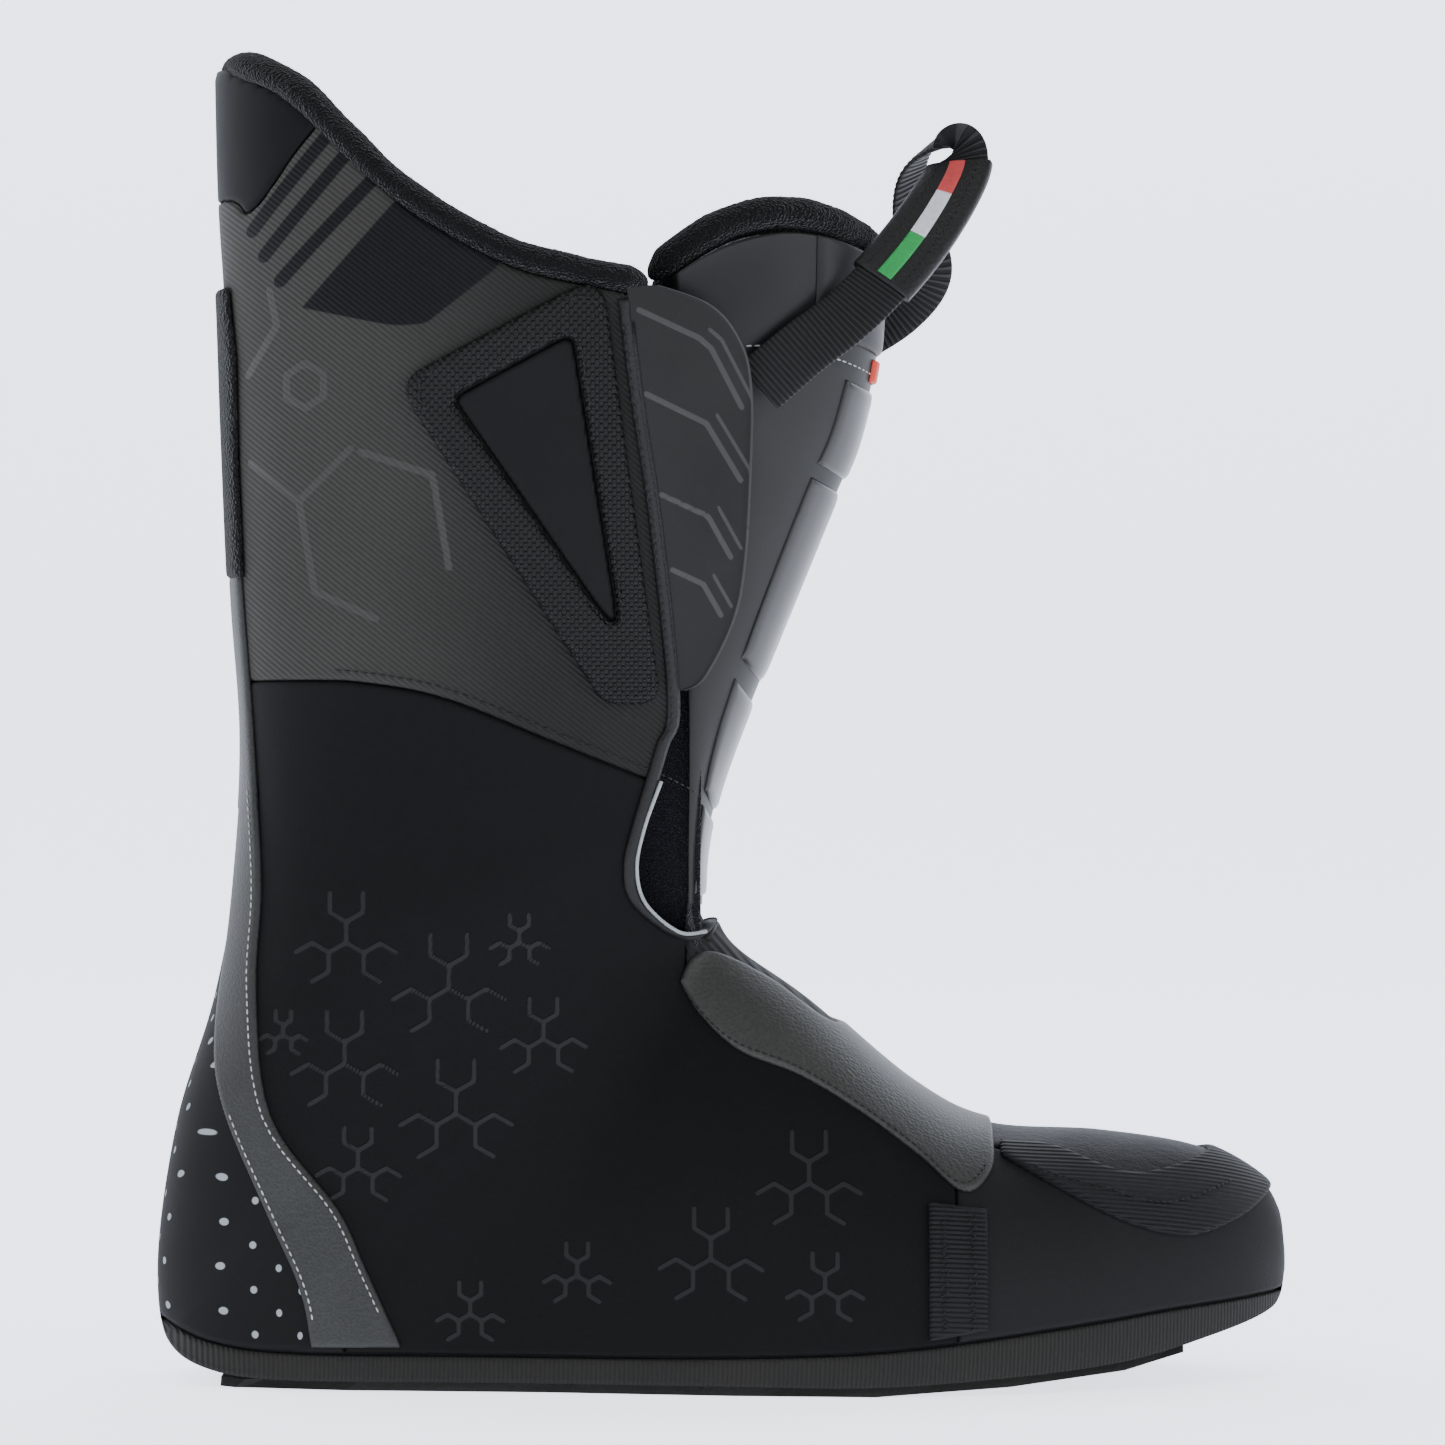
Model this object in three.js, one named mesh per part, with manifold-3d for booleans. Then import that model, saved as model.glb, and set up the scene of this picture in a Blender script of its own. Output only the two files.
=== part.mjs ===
// The removable inner boot (liner) of a right alpine ski boot: a padded sock with a tall cuff, a hinged tongue with a
// webbing pull loop, two springy front flaps and a sewn-on sole. Millimetres, +X to the toe, +Z up, -Y the outer side.
import * as THREE from "three";
import { mergeVertices } from "three/addons/utils/BufferGeometryUtils.js";
import Module from "manifold-3d";

const wasm = await Module();
wasm.setup();

// ---------------------------------------------------------------- driving dimensions
const LENGTH = 290; // heel to toe
const HEIGHT = 338; // floor to the top of the cuff
const FOREFOOT_WIDTH = 102; // across the ball of the foot
const HEEL_WIDTH = 72; // across the heel
const ANKLE_WIDTH = 84; // across the ankle bones
const CUFF_WIDTH = 112; // across the calf, at the collar
const TOE_SHIFT = 8; // the big toe lies this far to the inner side
const GAP = 0.3; // between neighbours
const SEAM = 0.4; // between two panels of one layer
const SKIN = 1.2; // laminated outer fabric
const OVERLAY = 1.2; // straps, tapes and facings sewn on top of it
const PADDING_TOE = 1.6; // foam over the toes
const PADDING_CUFF = 6.0; // foam round the heel and calf
const LINING = 1.0; // brushed inner lining
const COUNTER = 1.4; // stiffener sheets moulded into the foam
const SPINE_PATCH = 2.2; // hook-and-loop pile strip down the spine
const BRACE_FRAME = 2.2; // moulded triangular frame
const BRACE_WINDOW = 1.0; // its recessed middle
const SOLE_PAD = 2.2; // non-slip pad under the sole
const RAND = 1.2; // tray that wraps the sole
const BOARD = 3.0; // lasting board
const FOOTBED = 4.0; // removable insole
const COLLAR_HEIGHT = 7.5; // plush roll round the top edge
const COLLAR_OVER = 0.6; // how far it stands proud of the wall on each side
const FLAP = 1.3; // front flap sheet
const FLAP_CLEARANCE = 4.6; // tongue to flap, room for the webbing between them
const TONGUE_TOP_HALF = 38; // half the tongue's width at its top
const TONGUE_FOOT_HALF = 18; // and at its foot
const TONGUE_SHELL = 1.2;
const TONGUE_PADDING = 6.5;
const TONGUE_PAD = 1.0; // raised pads down its front
const TONGUE_COLLAR = 9.5; // thickness of the plush roll over its top
const WEBBING_WIDTH = 15;
const WEBBING = 1.6;
const GRIP = 0.9; // synthetic leather sewn round the webbing
const STRIPE_WIDTH = 4;
const STRIPE = 0.5;

const WALL = SKIN + GAP + PADDING_CUFF + GAP + LINING; // the whole cuff wall
const BOARD_TOP = RAND + GAP + BOARD; // heights above the underside of the form
const FOOTBED_TOP = BOARD_TOP + GAP + FOOTBED;

// ---------------------------------------------------------------- side view
// Outlines are drawn for a boot 290 long and 338 high, and stretched to the sizes above.
const DRAWN = { length: 290, height: 338 };
const BEYOND = 200; // farther out than any part of the boot, for cutters
const SOLE_DRAWN = 2.5; // drawn height of the form's underside
const at = (x, z) =>
  new THREE.Vector2(
    (x * LENGTH) / DRAWN.length,
    SOLE_PAD + GAP + ((z - SOLE_DRAWN) * HEIGHT) / DRAWN.height,
  );
const outline = (list) => list.map(([x, z]) => at(x, z));

// A smooth curve through points of the side view.
function smooth(list, perPoint = 3) {
  const curve = new THREE.SplineCurve(outline(list));
  return curve.getPoints(perPoint * (list.length - 1));
}

// A polygon with its corners rounded to a radius.
function rounded(points, radius, steps = 4) {
  return points.flatMap((corner, i) => {
    const before = points[(i + points.length - 1) % points.length].clone().sub(corner);
    const after = points[(i + 1) % points.length].clone().sub(corner);
    const angle = Math.acos(before.clone().normalize().dot(after.clone().normalize())) / 2;
    const back = Math.min(radius / Math.tan(angle), before.length() / 2.2, after.length() / 2.2);
    const start = corner.clone().add(before.setLength(back));
    const end = corner.clone().add(after.setLength(back));
    return new THREE.QuadraticBezierCurve(start, corner, end).getPoints(steps);
  });
}

// ---------------------------------------------------------------- solids
// A closed geometry as a manifold-3d solid, with doubled corners merged, empty triangles dropped and faces outward.
function solid(geometry) {
  for (const name of Object.keys(geometry.attributes)) if (name !== "position") geometry.deleteAttribute(name);
  const merged = mergeVertices(geometry, 1e-4);
  const kept = [];
  const index = merged.index.array;
  for (let i = 0; i < index.length; i += 3) {
    const [a, b, c] = [index[i], index[i + 1], index[i + 2]];
    if (a !== b && b !== c && c !== a) kept.push(a, b, c);
  }
  const build = () =>
    new wasm.Manifold(
      new wasm.Mesh({
        numProp: 3,
        vertProperties: new Float32Array(merged.attributes.position.array),
        triVerts: new Uint32Array(kept),
      }),
    );
  const found = build();
  if (found.volume() > 0) return found;
  for (let i = 0; i < kept.length; i += 3) [kept[i + 1], kept[i + 2]] = [kept[i + 2], kept[i + 1]];
  return build();
}

// A solid as a geometry again.
function geometryOf(shape) {
  const m = shape.getMesh();
  const positions = new Float32Array(m.numVert * 3);
  for (let i = 0; i < m.numVert; i++) {
    positions.set(m.vertProperties.subarray(i * m.numProp, i * m.numProp + 3), i * 3);
  }
  const g = new THREE.BufferGeometry();
  g.setAttribute("position", new THREE.BufferAttribute(positions, 3));
  g.setIndex(new THREE.BufferAttribute(new Uint32Array(m.triVerts), 1));
  return g;
}

// A side-view outline pushed through from y0 to y1.
function prism(points, y0 = -BEYOND, y1 = BEYOND) {
  const g = new THREE.ExtrudeGeometry(new THREE.Shape(points), { depth: y1 - y0, bevelEnabled: false, steps: 1 });
  g.rotateX(Math.PI / 2);
  g.translate(0, y1, 0);
  return solid(g);
}

// Everything in the side view below a line that runs from heel to toe.
function below(line) {
  const low = -BEYOND;
  return prism([new THREE.Vector2(line[0].x, low), ...line, new THREE.Vector2(line[line.length - 1].x, low)]);
}

// A closed sheet between two grids of points of the same size; wrap joins the last column to the first.
function sheet(outer, inner, wrap = false) {
  const rows = outer.length;
  const columns = outer[0].length;
  const positions = [];
  const quad = (...q) => {
    for (const p of [q[0], q[1], q[2], q[0], q[2], q[3]]) positions.push(p.x, p.y, p.z);
  };
  const last = wrap ? columns : columns - 1;
  for (let i = 0; i < rows - 1; i++) {
    for (let j = 0; j < last; j++) {
      const k = (j + 1) % columns;
      quad(outer[i][j], outer[i + 1][j], outer[i + 1][k], outer[i][k]);
      quad(inner[i][j], inner[i][k], inner[i + 1][k], inner[i + 1][j]);
    }
    if (!wrap) {
      quad(outer[i][0], inner[i][0], inner[i + 1][0], outer[i + 1][0]);
      quad(outer[i][last], outer[i + 1][last], inner[i + 1][last], inner[i][last]);
    }
  }
  for (let j = 0; j < last; j++) {
    const k = (j + 1) % columns;
    const r = rows - 1;
    quad(outer[0][j], outer[0][k], inner[0][k], inner[0][j]);
    quad(outer[r][j], inner[r][j], inner[r][k], outer[r][k]);
  }
  const g = new THREE.BufferGeometry();
  g.setAttribute("position", new THREE.Float32BufferAttribute(positions, 3));
  return solid(g);
}

// A section, given as [across, out] pairs, carried along stations of { p, across, out }, with flat ends.
function sweep(stations, section) {
  const ring = ({ p, across, out }) =>
    section.map(([a, o]) => p.clone().addScaledVector(across, a).addScaledVector(out, o));
  const centre = (station) => {
    const points = ring(station);
    const middle = points.reduce((sum, q) => sum.add(q), new THREE.Vector3()).divideScalar(points.length);
    return points.map(() => middle);
  };
  const ends = [stations[0], stations[stations.length - 1]];
  const rings = [centre(ends[0]), ...stations.map(ring), centre(ends[1])];
  const positions = [];
  const n = section.length;
  for (let i = 0; i < rings.length - 1; i++) {
    for (let j = 0; j < n; j++) {
      const k = (j + 1) % n;
      const [a, b, c, d] = [rings[i][j], rings[i + 1][j], rings[i + 1][k], rings[i][k]];
      for (const q of [a, b, c, a, c, d]) positions.push(q.x, q.y, q.z);
    }
  }
  const g = new THREE.BufferGeometry();
  g.setAttribute("position", new THREE.Float32BufferAttribute(positions, 3));
  return solid(g);
}

const ellipse = (a, b, count = 10) =>
  Array.from({ length: count }, (_, i) => {
    const t = (2 * Math.PI * i) / count;
    return [a * Math.cos(t), b * Math.sin(t)];
  });
// A flat strap's section, with corners also where the narrow stripe's edges run, so that both bend alike.
const strapSection = (width, low, high, inner = STRIPE_WIDTH) => {
  const across = inner < width ? [-width / 2, -inner / 2, inner / 2, width / 2] : [-width / 2, width / 2];
  return [...across.map((a) => [a, low]), ...across.reverse().map((a) => [a, high])];
};

// ---------------------------------------------------------------- the foot form
// Ribs from the toe back over the heel and up the leg. Each runs from the front line to the sole's edge or, from the
// heel up, to the back line; half is half its greatest width where the sole doesn't set it.
const RIBS = [
  { front: [144.4, 34], back: [144.4, 28] },
  { front: [143, 43], back: [142.5, 21] },
  { front: [137.5, 50.6], back: [138, 17.5] },
  { front: [122, 58.6], back: [124, 13.2] },
  { front: [97, 62.8], back: [101, 7.7] },
  { front: [68, 65], back: [72, 4.6] },
  { front: [48, 75], back: [38, 2.5] },
  { front: [22, 96.8], back: [2, 2.5] },
  { front: [4.3, 109.4], back: [-46, 2.5] },
  { front: [-1.2, 117], back: [-97, 2.5] },
  { front: [-3.2, 124], back: [-127, 4.2], half: HEEL_WIDTH / 2 + 3 },
  { front: [-3.6, 128.5], back: [-141.5, 12], half: HEEL_WIDTH / 2 + 3.5 },
  { front: [-3.6, 133], back: [-144.6, 31], half: HEEL_WIDTH / 2 + 4 },
  { front: [-3, 138], back: [-139.6, 66], half: ANKLE_WIDTH / 2 - 1 },
  { front: [-1.2, 145], back: [-130, 98], half: ANKLE_WIDTH / 2 },
  { front: [3.4, 158], back: [-124, 132], half: ANKLE_WIDTH / 2 },
  { front: [12, 180.5], back: [-122.2, 164], half: ANKLE_WIDTH / 2 + 1.5 },
  { front: [23, 206], back: [-124.6, 200], half: CUFF_WIDTH / 2 - 9 },
  { front: [36, 240], back: [-126.4, 242], half: CUFF_WIDTH / 2 - 4 },
  { front: [43, 272], back: [-127.6, 276], half: CUFF_WIDTH / 2 },
  { front: [45, 306], back: [-129.4, 308], half: CUFF_WIDTH / 2 },
  { front: [46, 372], back: [-130.5, 372], half: CUFF_WIDTH / 2 },
];
const LAST_SOLE_RIB = 9;
const RIB_COUNT = RIBS.length;
const PARTS_PER_SIDE = 6;
const HEEL_CENTRE = -98;
const BALL = { outer: 36, inner: 54 }; // where each side of the sole is widest
const SHOULDER = 2.3; // fullness of a rib towards its front
const FULLNESS = 2.15; // and across

const smoothstep = THREE.MathUtils.smoothstep;
const middleLine = (x) => TOE_SHIFT * smoothstep(x / LENGTH, 0.1, 0.5);

// Half the width of the sole at x, on the outer (-1) or inner (1) side, from the middle line.
function soleHalf(x, sign) {
  const [heel, ball] = [at(HEEL_CENTRE, 0).x, at(sign < 0 ? BALL.outer : BALL.inner, 0).x];
  if (x < heel) return (HEEL_WIDTH / 2) * Math.sqrt(Math.max(0, 1 - ((heel - x) / (LENGTH / 2 + heel)) ** 2.2));
  if (x > ball) return (FOREFOOT_WIDTH / 2) * Math.sqrt(Math.max(0, 1 - ((x - ball) / (LENGTH / 2 - ball)) ** 2.3));
  const t = (x - heel) / (ball - heel);
  const hollow = sign < 0 ? 1 : 6; // the waist of the foot
  return THREE.MathUtils.lerp(HEEL_WIDTH, FOREFOOT_WIDTH, smoothstep(t, 0, 1)) / 2 - hollow * Math.sin(Math.PI * t);
}

const rail = (key) =>
  new THREE.CatmullRomCurve3(
    RIBS.map((rib) => new THREE.Vector3(at(...rib[key]).x, 0, at(...rib[key]).y)),
    false,
    "catmullrom",
    0.5,
  );
const [frontRail, backRail] = [rail("front"), rail("back")];
const legHalves = new THREE.SplineCurve(RIBS.map(({ half }, i) => new THREE.Vector2(i, half ?? HEEL_WIDTH / 2 + 3)));

// A rib's ends, its half widths at the widest and at the sole, and the share of the way down where it is widest.
function rib(u, sign) {
  const [front, back] = [frontRail.getPoint(u), backRail.getPoint(u)];
  const place = u * (RIB_COUNT - 1);
  const sole = soleHalf(back.x, sign);
  const leg = legHalves.getPoint(u).y;
  const soleShare = 1 - smoothstep(place, LAST_SOLE_RIB - 1, LAST_SOLE_RIB + 1);
  const widest = Math.max(0.5, THREE.MathUtils.lerp(leg, 1.03 * sole, soleShare));
  const end = place > LAST_SOLE_RIB + 2.5 ? 0 : Math.min(sole, widest);
  const low = (1 - (end / widest) ** FULLNESS) ** (1 / SHOULDER);
  return { front, back, widest, low, peak: 1 / (1 + low) };
}

// The form's point on rib u, share s of the way from the front line to the sole or back line.
function formPoint(u, s, sign) {
  const { front, back, widest, low, peak } = rib(u, sign);
  const cosine = Math.cos(s * Math.acos(-low));
  const p = front.clone().lerp(back, peak * (1 - cosine));
  p.y = middleLine(p.x) + sign * widest * Math.max(0, 1 - Math.abs(cosine) ** SHOULDER) ** (1 / FULLNESS);
  return p;
}

// The outer surface of the form seen side-on at p: its y on that side.
function surfaceY(p, sign) {
  const turn = (u) => {
    const [f, b] = [frontRail.getPoint(u), backRail.getPoint(u)];
    return (b.x - f.x) * (p.y - f.z) - (b.z - f.z) * (p.x - f.x);
  };
  let [low, high] = [0.02, 1];
  for (let i = 0; i < 40; i++) {
    const middle = (low + high) / 2;
    if (turn(low) * turn(middle) <= 0) high = middle;
    else low = middle;
  }
  const { front, back, widest, peak } = rib(low, sign);
  const t = Math.hypot(p.x - front.x, p.y - front.z) / Math.hypot(back.x - front.x, back.z - front.z);
  const cosine = Math.min(1, Math.abs(1 - t / peak));
  return middleLine(p.x) + sign * widest * (1 - cosine ** SHOULDER) ** (1 / FULLNESS);
}

// The closed form, with a normal and the padding thickness at each corner.
function formGeometry() {
  const spans = RIB_COUNT - 1;
  const rings = Array.from({ length: spans + 1 }, (_, i) => {
    const shares = Array.from({ length: PARTS_PER_SIDE + 1 }, (_, j) => j / PARTS_PER_SIDE);
    const side = (sign) => shares.map((s) => formPoint(i / spans, s, sign));
    return [...side(-1), ...side(1).reverse()];
  });
  const positions = [];
  const paddings = [];
  const put = (i, j) => {
    const p = rings[i][j];
    positions.push(p.x, p.y, p.z);
    paddings.push(THREE.MathUtils.lerp(PADDING_TOE, PADDING_CUFF, smoothstep(i / spans, 0.2, 0.5)));
  };
  const count = rings[0].length;
  for (let i = 0; i < spans; i++) {
    for (let j = 0; j < count; j++) {
      const k = (j + 1) % count;
      for (const [a, b] of [[i, j], [i, k], [i + 1, k], [i, j], [i + 1, k], [i + 1, j]]) put(a, b);
    }
  }
  for (let j = 1; j < count - 1; j++) {
    for (const [a, b] of [[0, 0], [0, j + 1], [0, j], [spans, 0], [spans, j], [spans, j + 1]]) put(a, b);
  }
  const g = new THREE.BufferGeometry();
  g.setAttribute("position", new THREE.Float32BufferAttribute(positions, 3));
  g.setAttribute("padding", new THREE.Float32BufferAttribute(paddings, 1));
  const merged = mergeVertices(g, 1e-4);
  merged.computeVertexNormals();
  return merged;
}
const FORM = formGeometry();

// The form drawn in by a depth plus a share of the padding; a negative depth grows it.
const made = new Map();
function form(depth, share = 0) {
  const key = `${depth.toFixed(3)} ${share}`;
  if (!made.has(key)) {
    const g = FORM.clone();
    const { position: p, normal: n, padding } = g.attributes;
    for (let i = 0; i < p.count; i++) {
      const d = depth + share * padding.getX(i);
      p.setXYZ(i, p.getX(i) + d * n.getX(i), p.getY(i) + d * n.getY(i), p.getZ(i) + d * n.getZ(i));
    }
    made.set(key, solid(g));
  }
  return made.get(key);
}
const layer = (outer, inner) => form(...outer).subtract(form(...inner));

// ---------------------------------------------------------------- lines and regions of the side view
const raise = (line, by) => line.map((p) => new THREE.Vector2(p.x, p.y + by));
// A line drawn from heel to toe, moved square to itself: down where by is positive.
const lower = (line, by) =>
  line.map((p, i) => {
    const along = line[Math.min(i + 1, line.length - 1)].clone().sub(line[Math.max(i - 1, 0)]).setLength(by);
    return new THREE.Vector2(p.x + along.y, p.y - along.x);
  });
const SOLE_LINE = smooth([
  [-170, 2.5], [-100, 2.5], [38, 2.5], [72, 4.6], [101, 7.7], [124, 13.2], [138, 17.5], [170, 27],
], 1);
const RAND_LINE = smooth([
  [-170, 17], [-145, 16], [-130, 11.5], [-105, 9.3], [-30, 9], [19, 10], [49, 12], [94, 17.5], [118, 20.5], [170, 24.5],
], 1);
const CUFF_LINE = smooth([
  [-170, 177], [-107, 178], [-87, 177], [-68, 173], [-43, 163], [-18, 153], [30, 134], [170, 110],
], 2);
const FOAM_LINE = raise(CUFF_LINE, -14); // the foam is joined lower than the fabric
const SPOILER_LINE = smooth([[-170, 300], [-128, 300], [-119, 296], [-106, 311], [-94, 324]], 2);
const RIM_LINE = smooth([
  [-170, 334], [-132, 333], [-122, 338], [-107, 330], [-92, 315], [-78, 302], [-63, 293], [-48, 286], [-24, 281],
], 2);
const FRONT_EDGE = smooth([
  [-24, 281], [-20, 248], [-15.5, 218], [-11, 173], [-14, 161], [-20, 141], [-22, 131], [-20, 122], [-10, 113.5],
  [-4.5, 114], [0, 118], [20, 134],
], 2);
const TOE_SEAM = at(58.5, 0).x;
const TOE_TOP = smooth([[58, 62], [69, 60.5], [84, 58.5], [99, 53], [110, 52.5], [126, 57], [140, 68]], 2);
const TOE_TAPE_LOW = smooth([[70, 58], [94, 45], [108, 39.5], [118, 38], [128, 40.5], [137, 45], [148, 54]], 2);
const TOE_TAPE_HIGH = smooth([[70, 61.5], [84, 60], [99, 54.5], [110, 54], [126, 58.5], [134, 66]], 2);
const VAMP_TAPE = outline([[51, 48], [51, 14], [66, 16.5], [66, 46]]);
const STRAP_FRONT = smooth([
  [-121, 198], [-117.5, 151], [-116, 125], [-117, 100], [-113, 69], [-96, 46], [-89, 31], [-80, 11],
], 2);
const STRAP_REAR = smooth([[-103, 11], [-106, 26], [-115, 46], [-126, 72], [-128, 91], [-125, 117], [-123, 145]], 2);
const HEEL_SEAM = smooth([[-94, 0], [-97, 28], [-109, 50], [-120, 75], [-122, 95], [-120, 120], [-118, 150]], 2);
const BRACE = outline([[-29.5, 279], [-81, 252], [-30, 172], [-15.5, 172]]);
const BRACE_HOLE = outline([[-67, 248], [-37, 264], [-25, 187]]);
const FACING = smooth([
  [-11, 102], [-8, 108], [-2, 109], [12, 102], [30, 90.5], [36, 104], [66, 80], [68.5, 62], [67, 54], [60, 50],
  [49, 59], [34, 70], [19, 79], [4, 85], [-6, 94], [-11, 102],
], 2).slice(0, -1);
const GUSSET = outline([[-9, 104], [-2, 105], [11, 98.5], [28, 87.5], [33, 84], [44, 98], [14, 124], [-9, 130]]);
const PATCH = outline([[-160, 279], [-124.3, 278], [-122.2, 259], [-121.8, 233], [-120.6, 204], [-160, 204]]);
const COUNTER_REGION = outline([[-160, 16], [-160, 108], [-118, 110], [-100, 74], [-70, 40], [-60, 18]]);
const STIFFENER_REGION = outline([[-160, 205], [-160, 300], [-112, 300], [-96, 282], [-96, 205]]);
const ANKLE_PAD = { x: -58, z: 96, length: 44, height: 58, thickness: 2.6 };
const FLAP_FRONT = smooth([
  [-9, 175.5], [-4, 179], [3, 193], [6, 208], [7.5, 235], [7.5, 251], [5, 262], [-3, 271.5], [-20, 277],
], 1);

// ---------------------------------------------------------------- collar roll
// The line of the roll, half way through the wall, from one front corner round the back to the other.
const rollLine = RIM_LINE.filter((p) => p.x > at(-118, 0).x && p.x < at(-25, 0).x);
const rollSide = (sign) =>
  lower(rollLine, COLLAR_HEIGHT / 2).map((p) => new THREE.Vector3(p.x, surfaceY(p, sign) - (sign * WALL) / 2, p.y));
const rollBack = at(-124.5, 338.3);
const rollCurve = new THREE.CatmullRomCurve3(
  [
    ...rollSide(-1).reverse(),
    new THREE.Vector3(rollBack.x, 0, rollBack.y - COLLAR_HEIGHT / 2),
    ...rollSide(1),
  ],
  false,
  "centripetal",
);
const ROLL_STEPS = 32;
const rollStations = Array.from({ length: ROLL_STEPS + 1 }, (_, i) => {
  const along = rollCurve.getTangentAt(i / ROLL_STEPS);
  const across = along.clone().cross(new THREE.Vector3(0, 0, 1)).normalize();
  return { p: rollCurve.getPointAt(i / ROLL_STEPS), across, out: across.clone().cross(along) };
});
const collarRoll = sweep(rollStations, ellipse(WALL / 2 + COLLAR_OVER, COLLAR_HEIGHT / 2, 8));

// Everything above the rim and in front of the cuff's front edge is open.
const OPENING = prism([
  ...lower(RIM_LINE, COLLAR_HEIGHT + 2 * GAP),
  ...FRONT_EDGE.slice(2),
  new THREE.Vector2(BEYOND, at(0, 260).y),
  new THREE.Vector2(BEYOND, HEIGHT + BEYOND),
  new THREE.Vector2(-BEYOND, HEIGHT + BEYOND),
]);

// A region grown outward by d.
function grow(points, d) {
  const turn = THREE.ShapeUtils.isClockWise(points) ? -1 : 1;
  const square = (from, to) => new THREE.Vector2(to.y - from.y, from.x - to.x).normalize();
  return points.map((p, i) => {
    const before = points[(i + points.length - 1) % points.length];
    const after = points[(i + 1) % points.length];
    return p.clone().addScaledVector(square(before, p).add(square(p, after)).normalize(), turn * d);
  });
}

// One side of the boot only: -1 outer, 1 inner.
const half = (sign, gap = SEAM / 2) => {
  const g = new THREE.BoxGeometry(4 * BEYOND, BEYOND, 4 * BEYOND);
  return solid(g.translate(0, sign * (BEYOND / 2 + gap), 0));
};
const HALF = { right: half(-1), left: half(1) };
const inFront = (x, gap = SEAM / 2) => {
  const corners = [[x + gap, -BEYOND], [BEYOND, -BEYOND], [BEYOND, 2 * BEYOND], [x + gap, 2 * BEYOND]];
  return prism(corners.map((corner) => new THREE.Vector2(...corner)));
};

// ---------------------------------------------------------------- materials
const finish = (color, roughness, metalness = 0) => new THREE.MeshStandardMaterial({ color, roughness, metalness });
const FINISHES = {
  fabric: finish(0x17181a, 0.9),
  cuff: finish(0x4f4e4a, 0.75),
  plush: finish(0x121213, 1.0),
  leather: finish(0x4a4c49, 0.6),
  rubber: finish(0x24231f, 0.95),
  rand: finish(0x37342f, 0.9),
  foam: finish(0x2b2c2f, 0.95),
  lining: finish(0x1d2030, 1.0),
  plastic: finish(0x565756, 0.45),
  gloss: finish(0x6b6c6b, 0.35),
  board: finish(0x8a8378, 0.9),
  webbing: finish(0x151515, 0.85),
  green: finish(0x2fa85a, 0.6),
  white: finish(0xe3e7ea, 0.6),
  red: finish(0xdc5a58, 0.6),
};

const group = new THREE.Group();
// Adds a piece, keeping the largest body where a cut leaves crumbs.
function add(name, shape, material) {
  const whole = shape.decompose().sort((a, b) => b.volume() - a.volume())[0];
  const mesh = new THREE.Mesh(geometryOf(whole), FINISHES[material]);
  mesh.name = name;
  group.add(mesh);
}

add("collar_roll", collarRoll, "plush");

// ---------------------------------------------------------------- sole
const soleBand = (low, high) => below(raise(SOLE_LINE, high)).subtract(below(raise(SOLE_LINE, low)));
const PAD_INSET = 6;
const PAD_ENDS = { heel: -127, toe: 116 };
add(
  "outsole_pad",
  form(PAD_INSET)
    .translate([0, 0, -PAD_INSET - 2 * SOLE_PAD])
    .intersect(soleBand(-GAP - SOLE_PAD, -GAP))
    .intersect(inFront(at(PAD_ENDS.heel, 0).x))
    .subtract(inFront(at(PAD_ENDS.toe, 0).x)),
  "rubber",
);
add("sole_rand", layer([0], [RAND]).intersect(below(RAND_LINE)), "rand");
add("lasting_board", form(RAND + GAP).intersect(soleBand(RAND + GAP, BOARD_TOP)), "board");
const INSIDE = SKIN + 2 * GAP + LINING; // to the inner face of the lining, without the padding
const walls = layer([SKIN], [INSIDE + 5 * GAP, 1]);
const footbed = form(INSIDE + GAP, 1).subtract(walls).intersect(soleBand(BOARD_TOP + GAP, FOOTBED_TOP));

// ---------------------------------------------------------------- outer fabric
const skin = layer([0], [SKIN]).subtract(OPENING).subtract(below(raise(RAND_LINE, GAP)));
const toeRegion = inFront(TOE_SEAM);
const toeTop = prism([...TOE_TOP, at(150, 100), at(58, 100)]);
const toeTopCut = prism(grow([...TOE_TOP, at(150, 100), at(58, 100)], SEAM));
const backOfToe = skin.subtract(inFront(TOE_SEAM, -SEAM / 2));
const lowerCuff = backOfToe.intersect(below(CUFF_LINE));
const heelRegion = [...HEEL_SEAM, at(-170, 150), at(-170, 0)];
const quarters = lowerCuff.subtract(prism(grow(heelRegion, SEAM))).subtract(prism(grow(GUSSET, SEAM)));
const cuff = backOfToe.subtract(below(raise(CUFF_LINE, SEAM)));
const spoilerRegion = [...SPOILER_LINE, at(-80, 360), at(-170, 360)];
add("toe_top_panel", skin.intersect(toeRegion).intersect(toeTop), "fabric");
add("toe_side_panel", skin.intersect(toeRegion).subtract(toeTopCut), "fabric");
add("heel_panel", lowerCuff.intersect(prism(heelRegion)), "fabric");
add("instep_gusset", lowerCuff.intersect(prism(GUSSET)), "webbing");
add("quarter_right", quarters.intersect(HALF.right), "fabric");
add("quarter_left", quarters.intersect(HALF.left), "fabric");
add("cuff_panel", cuff.subtract(prism(grow(spoilerRegion, SEAM))), "cuff");
add("spoiler_panel", cuff.intersect(prism(spoilerRegion)), "fabric");

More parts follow.
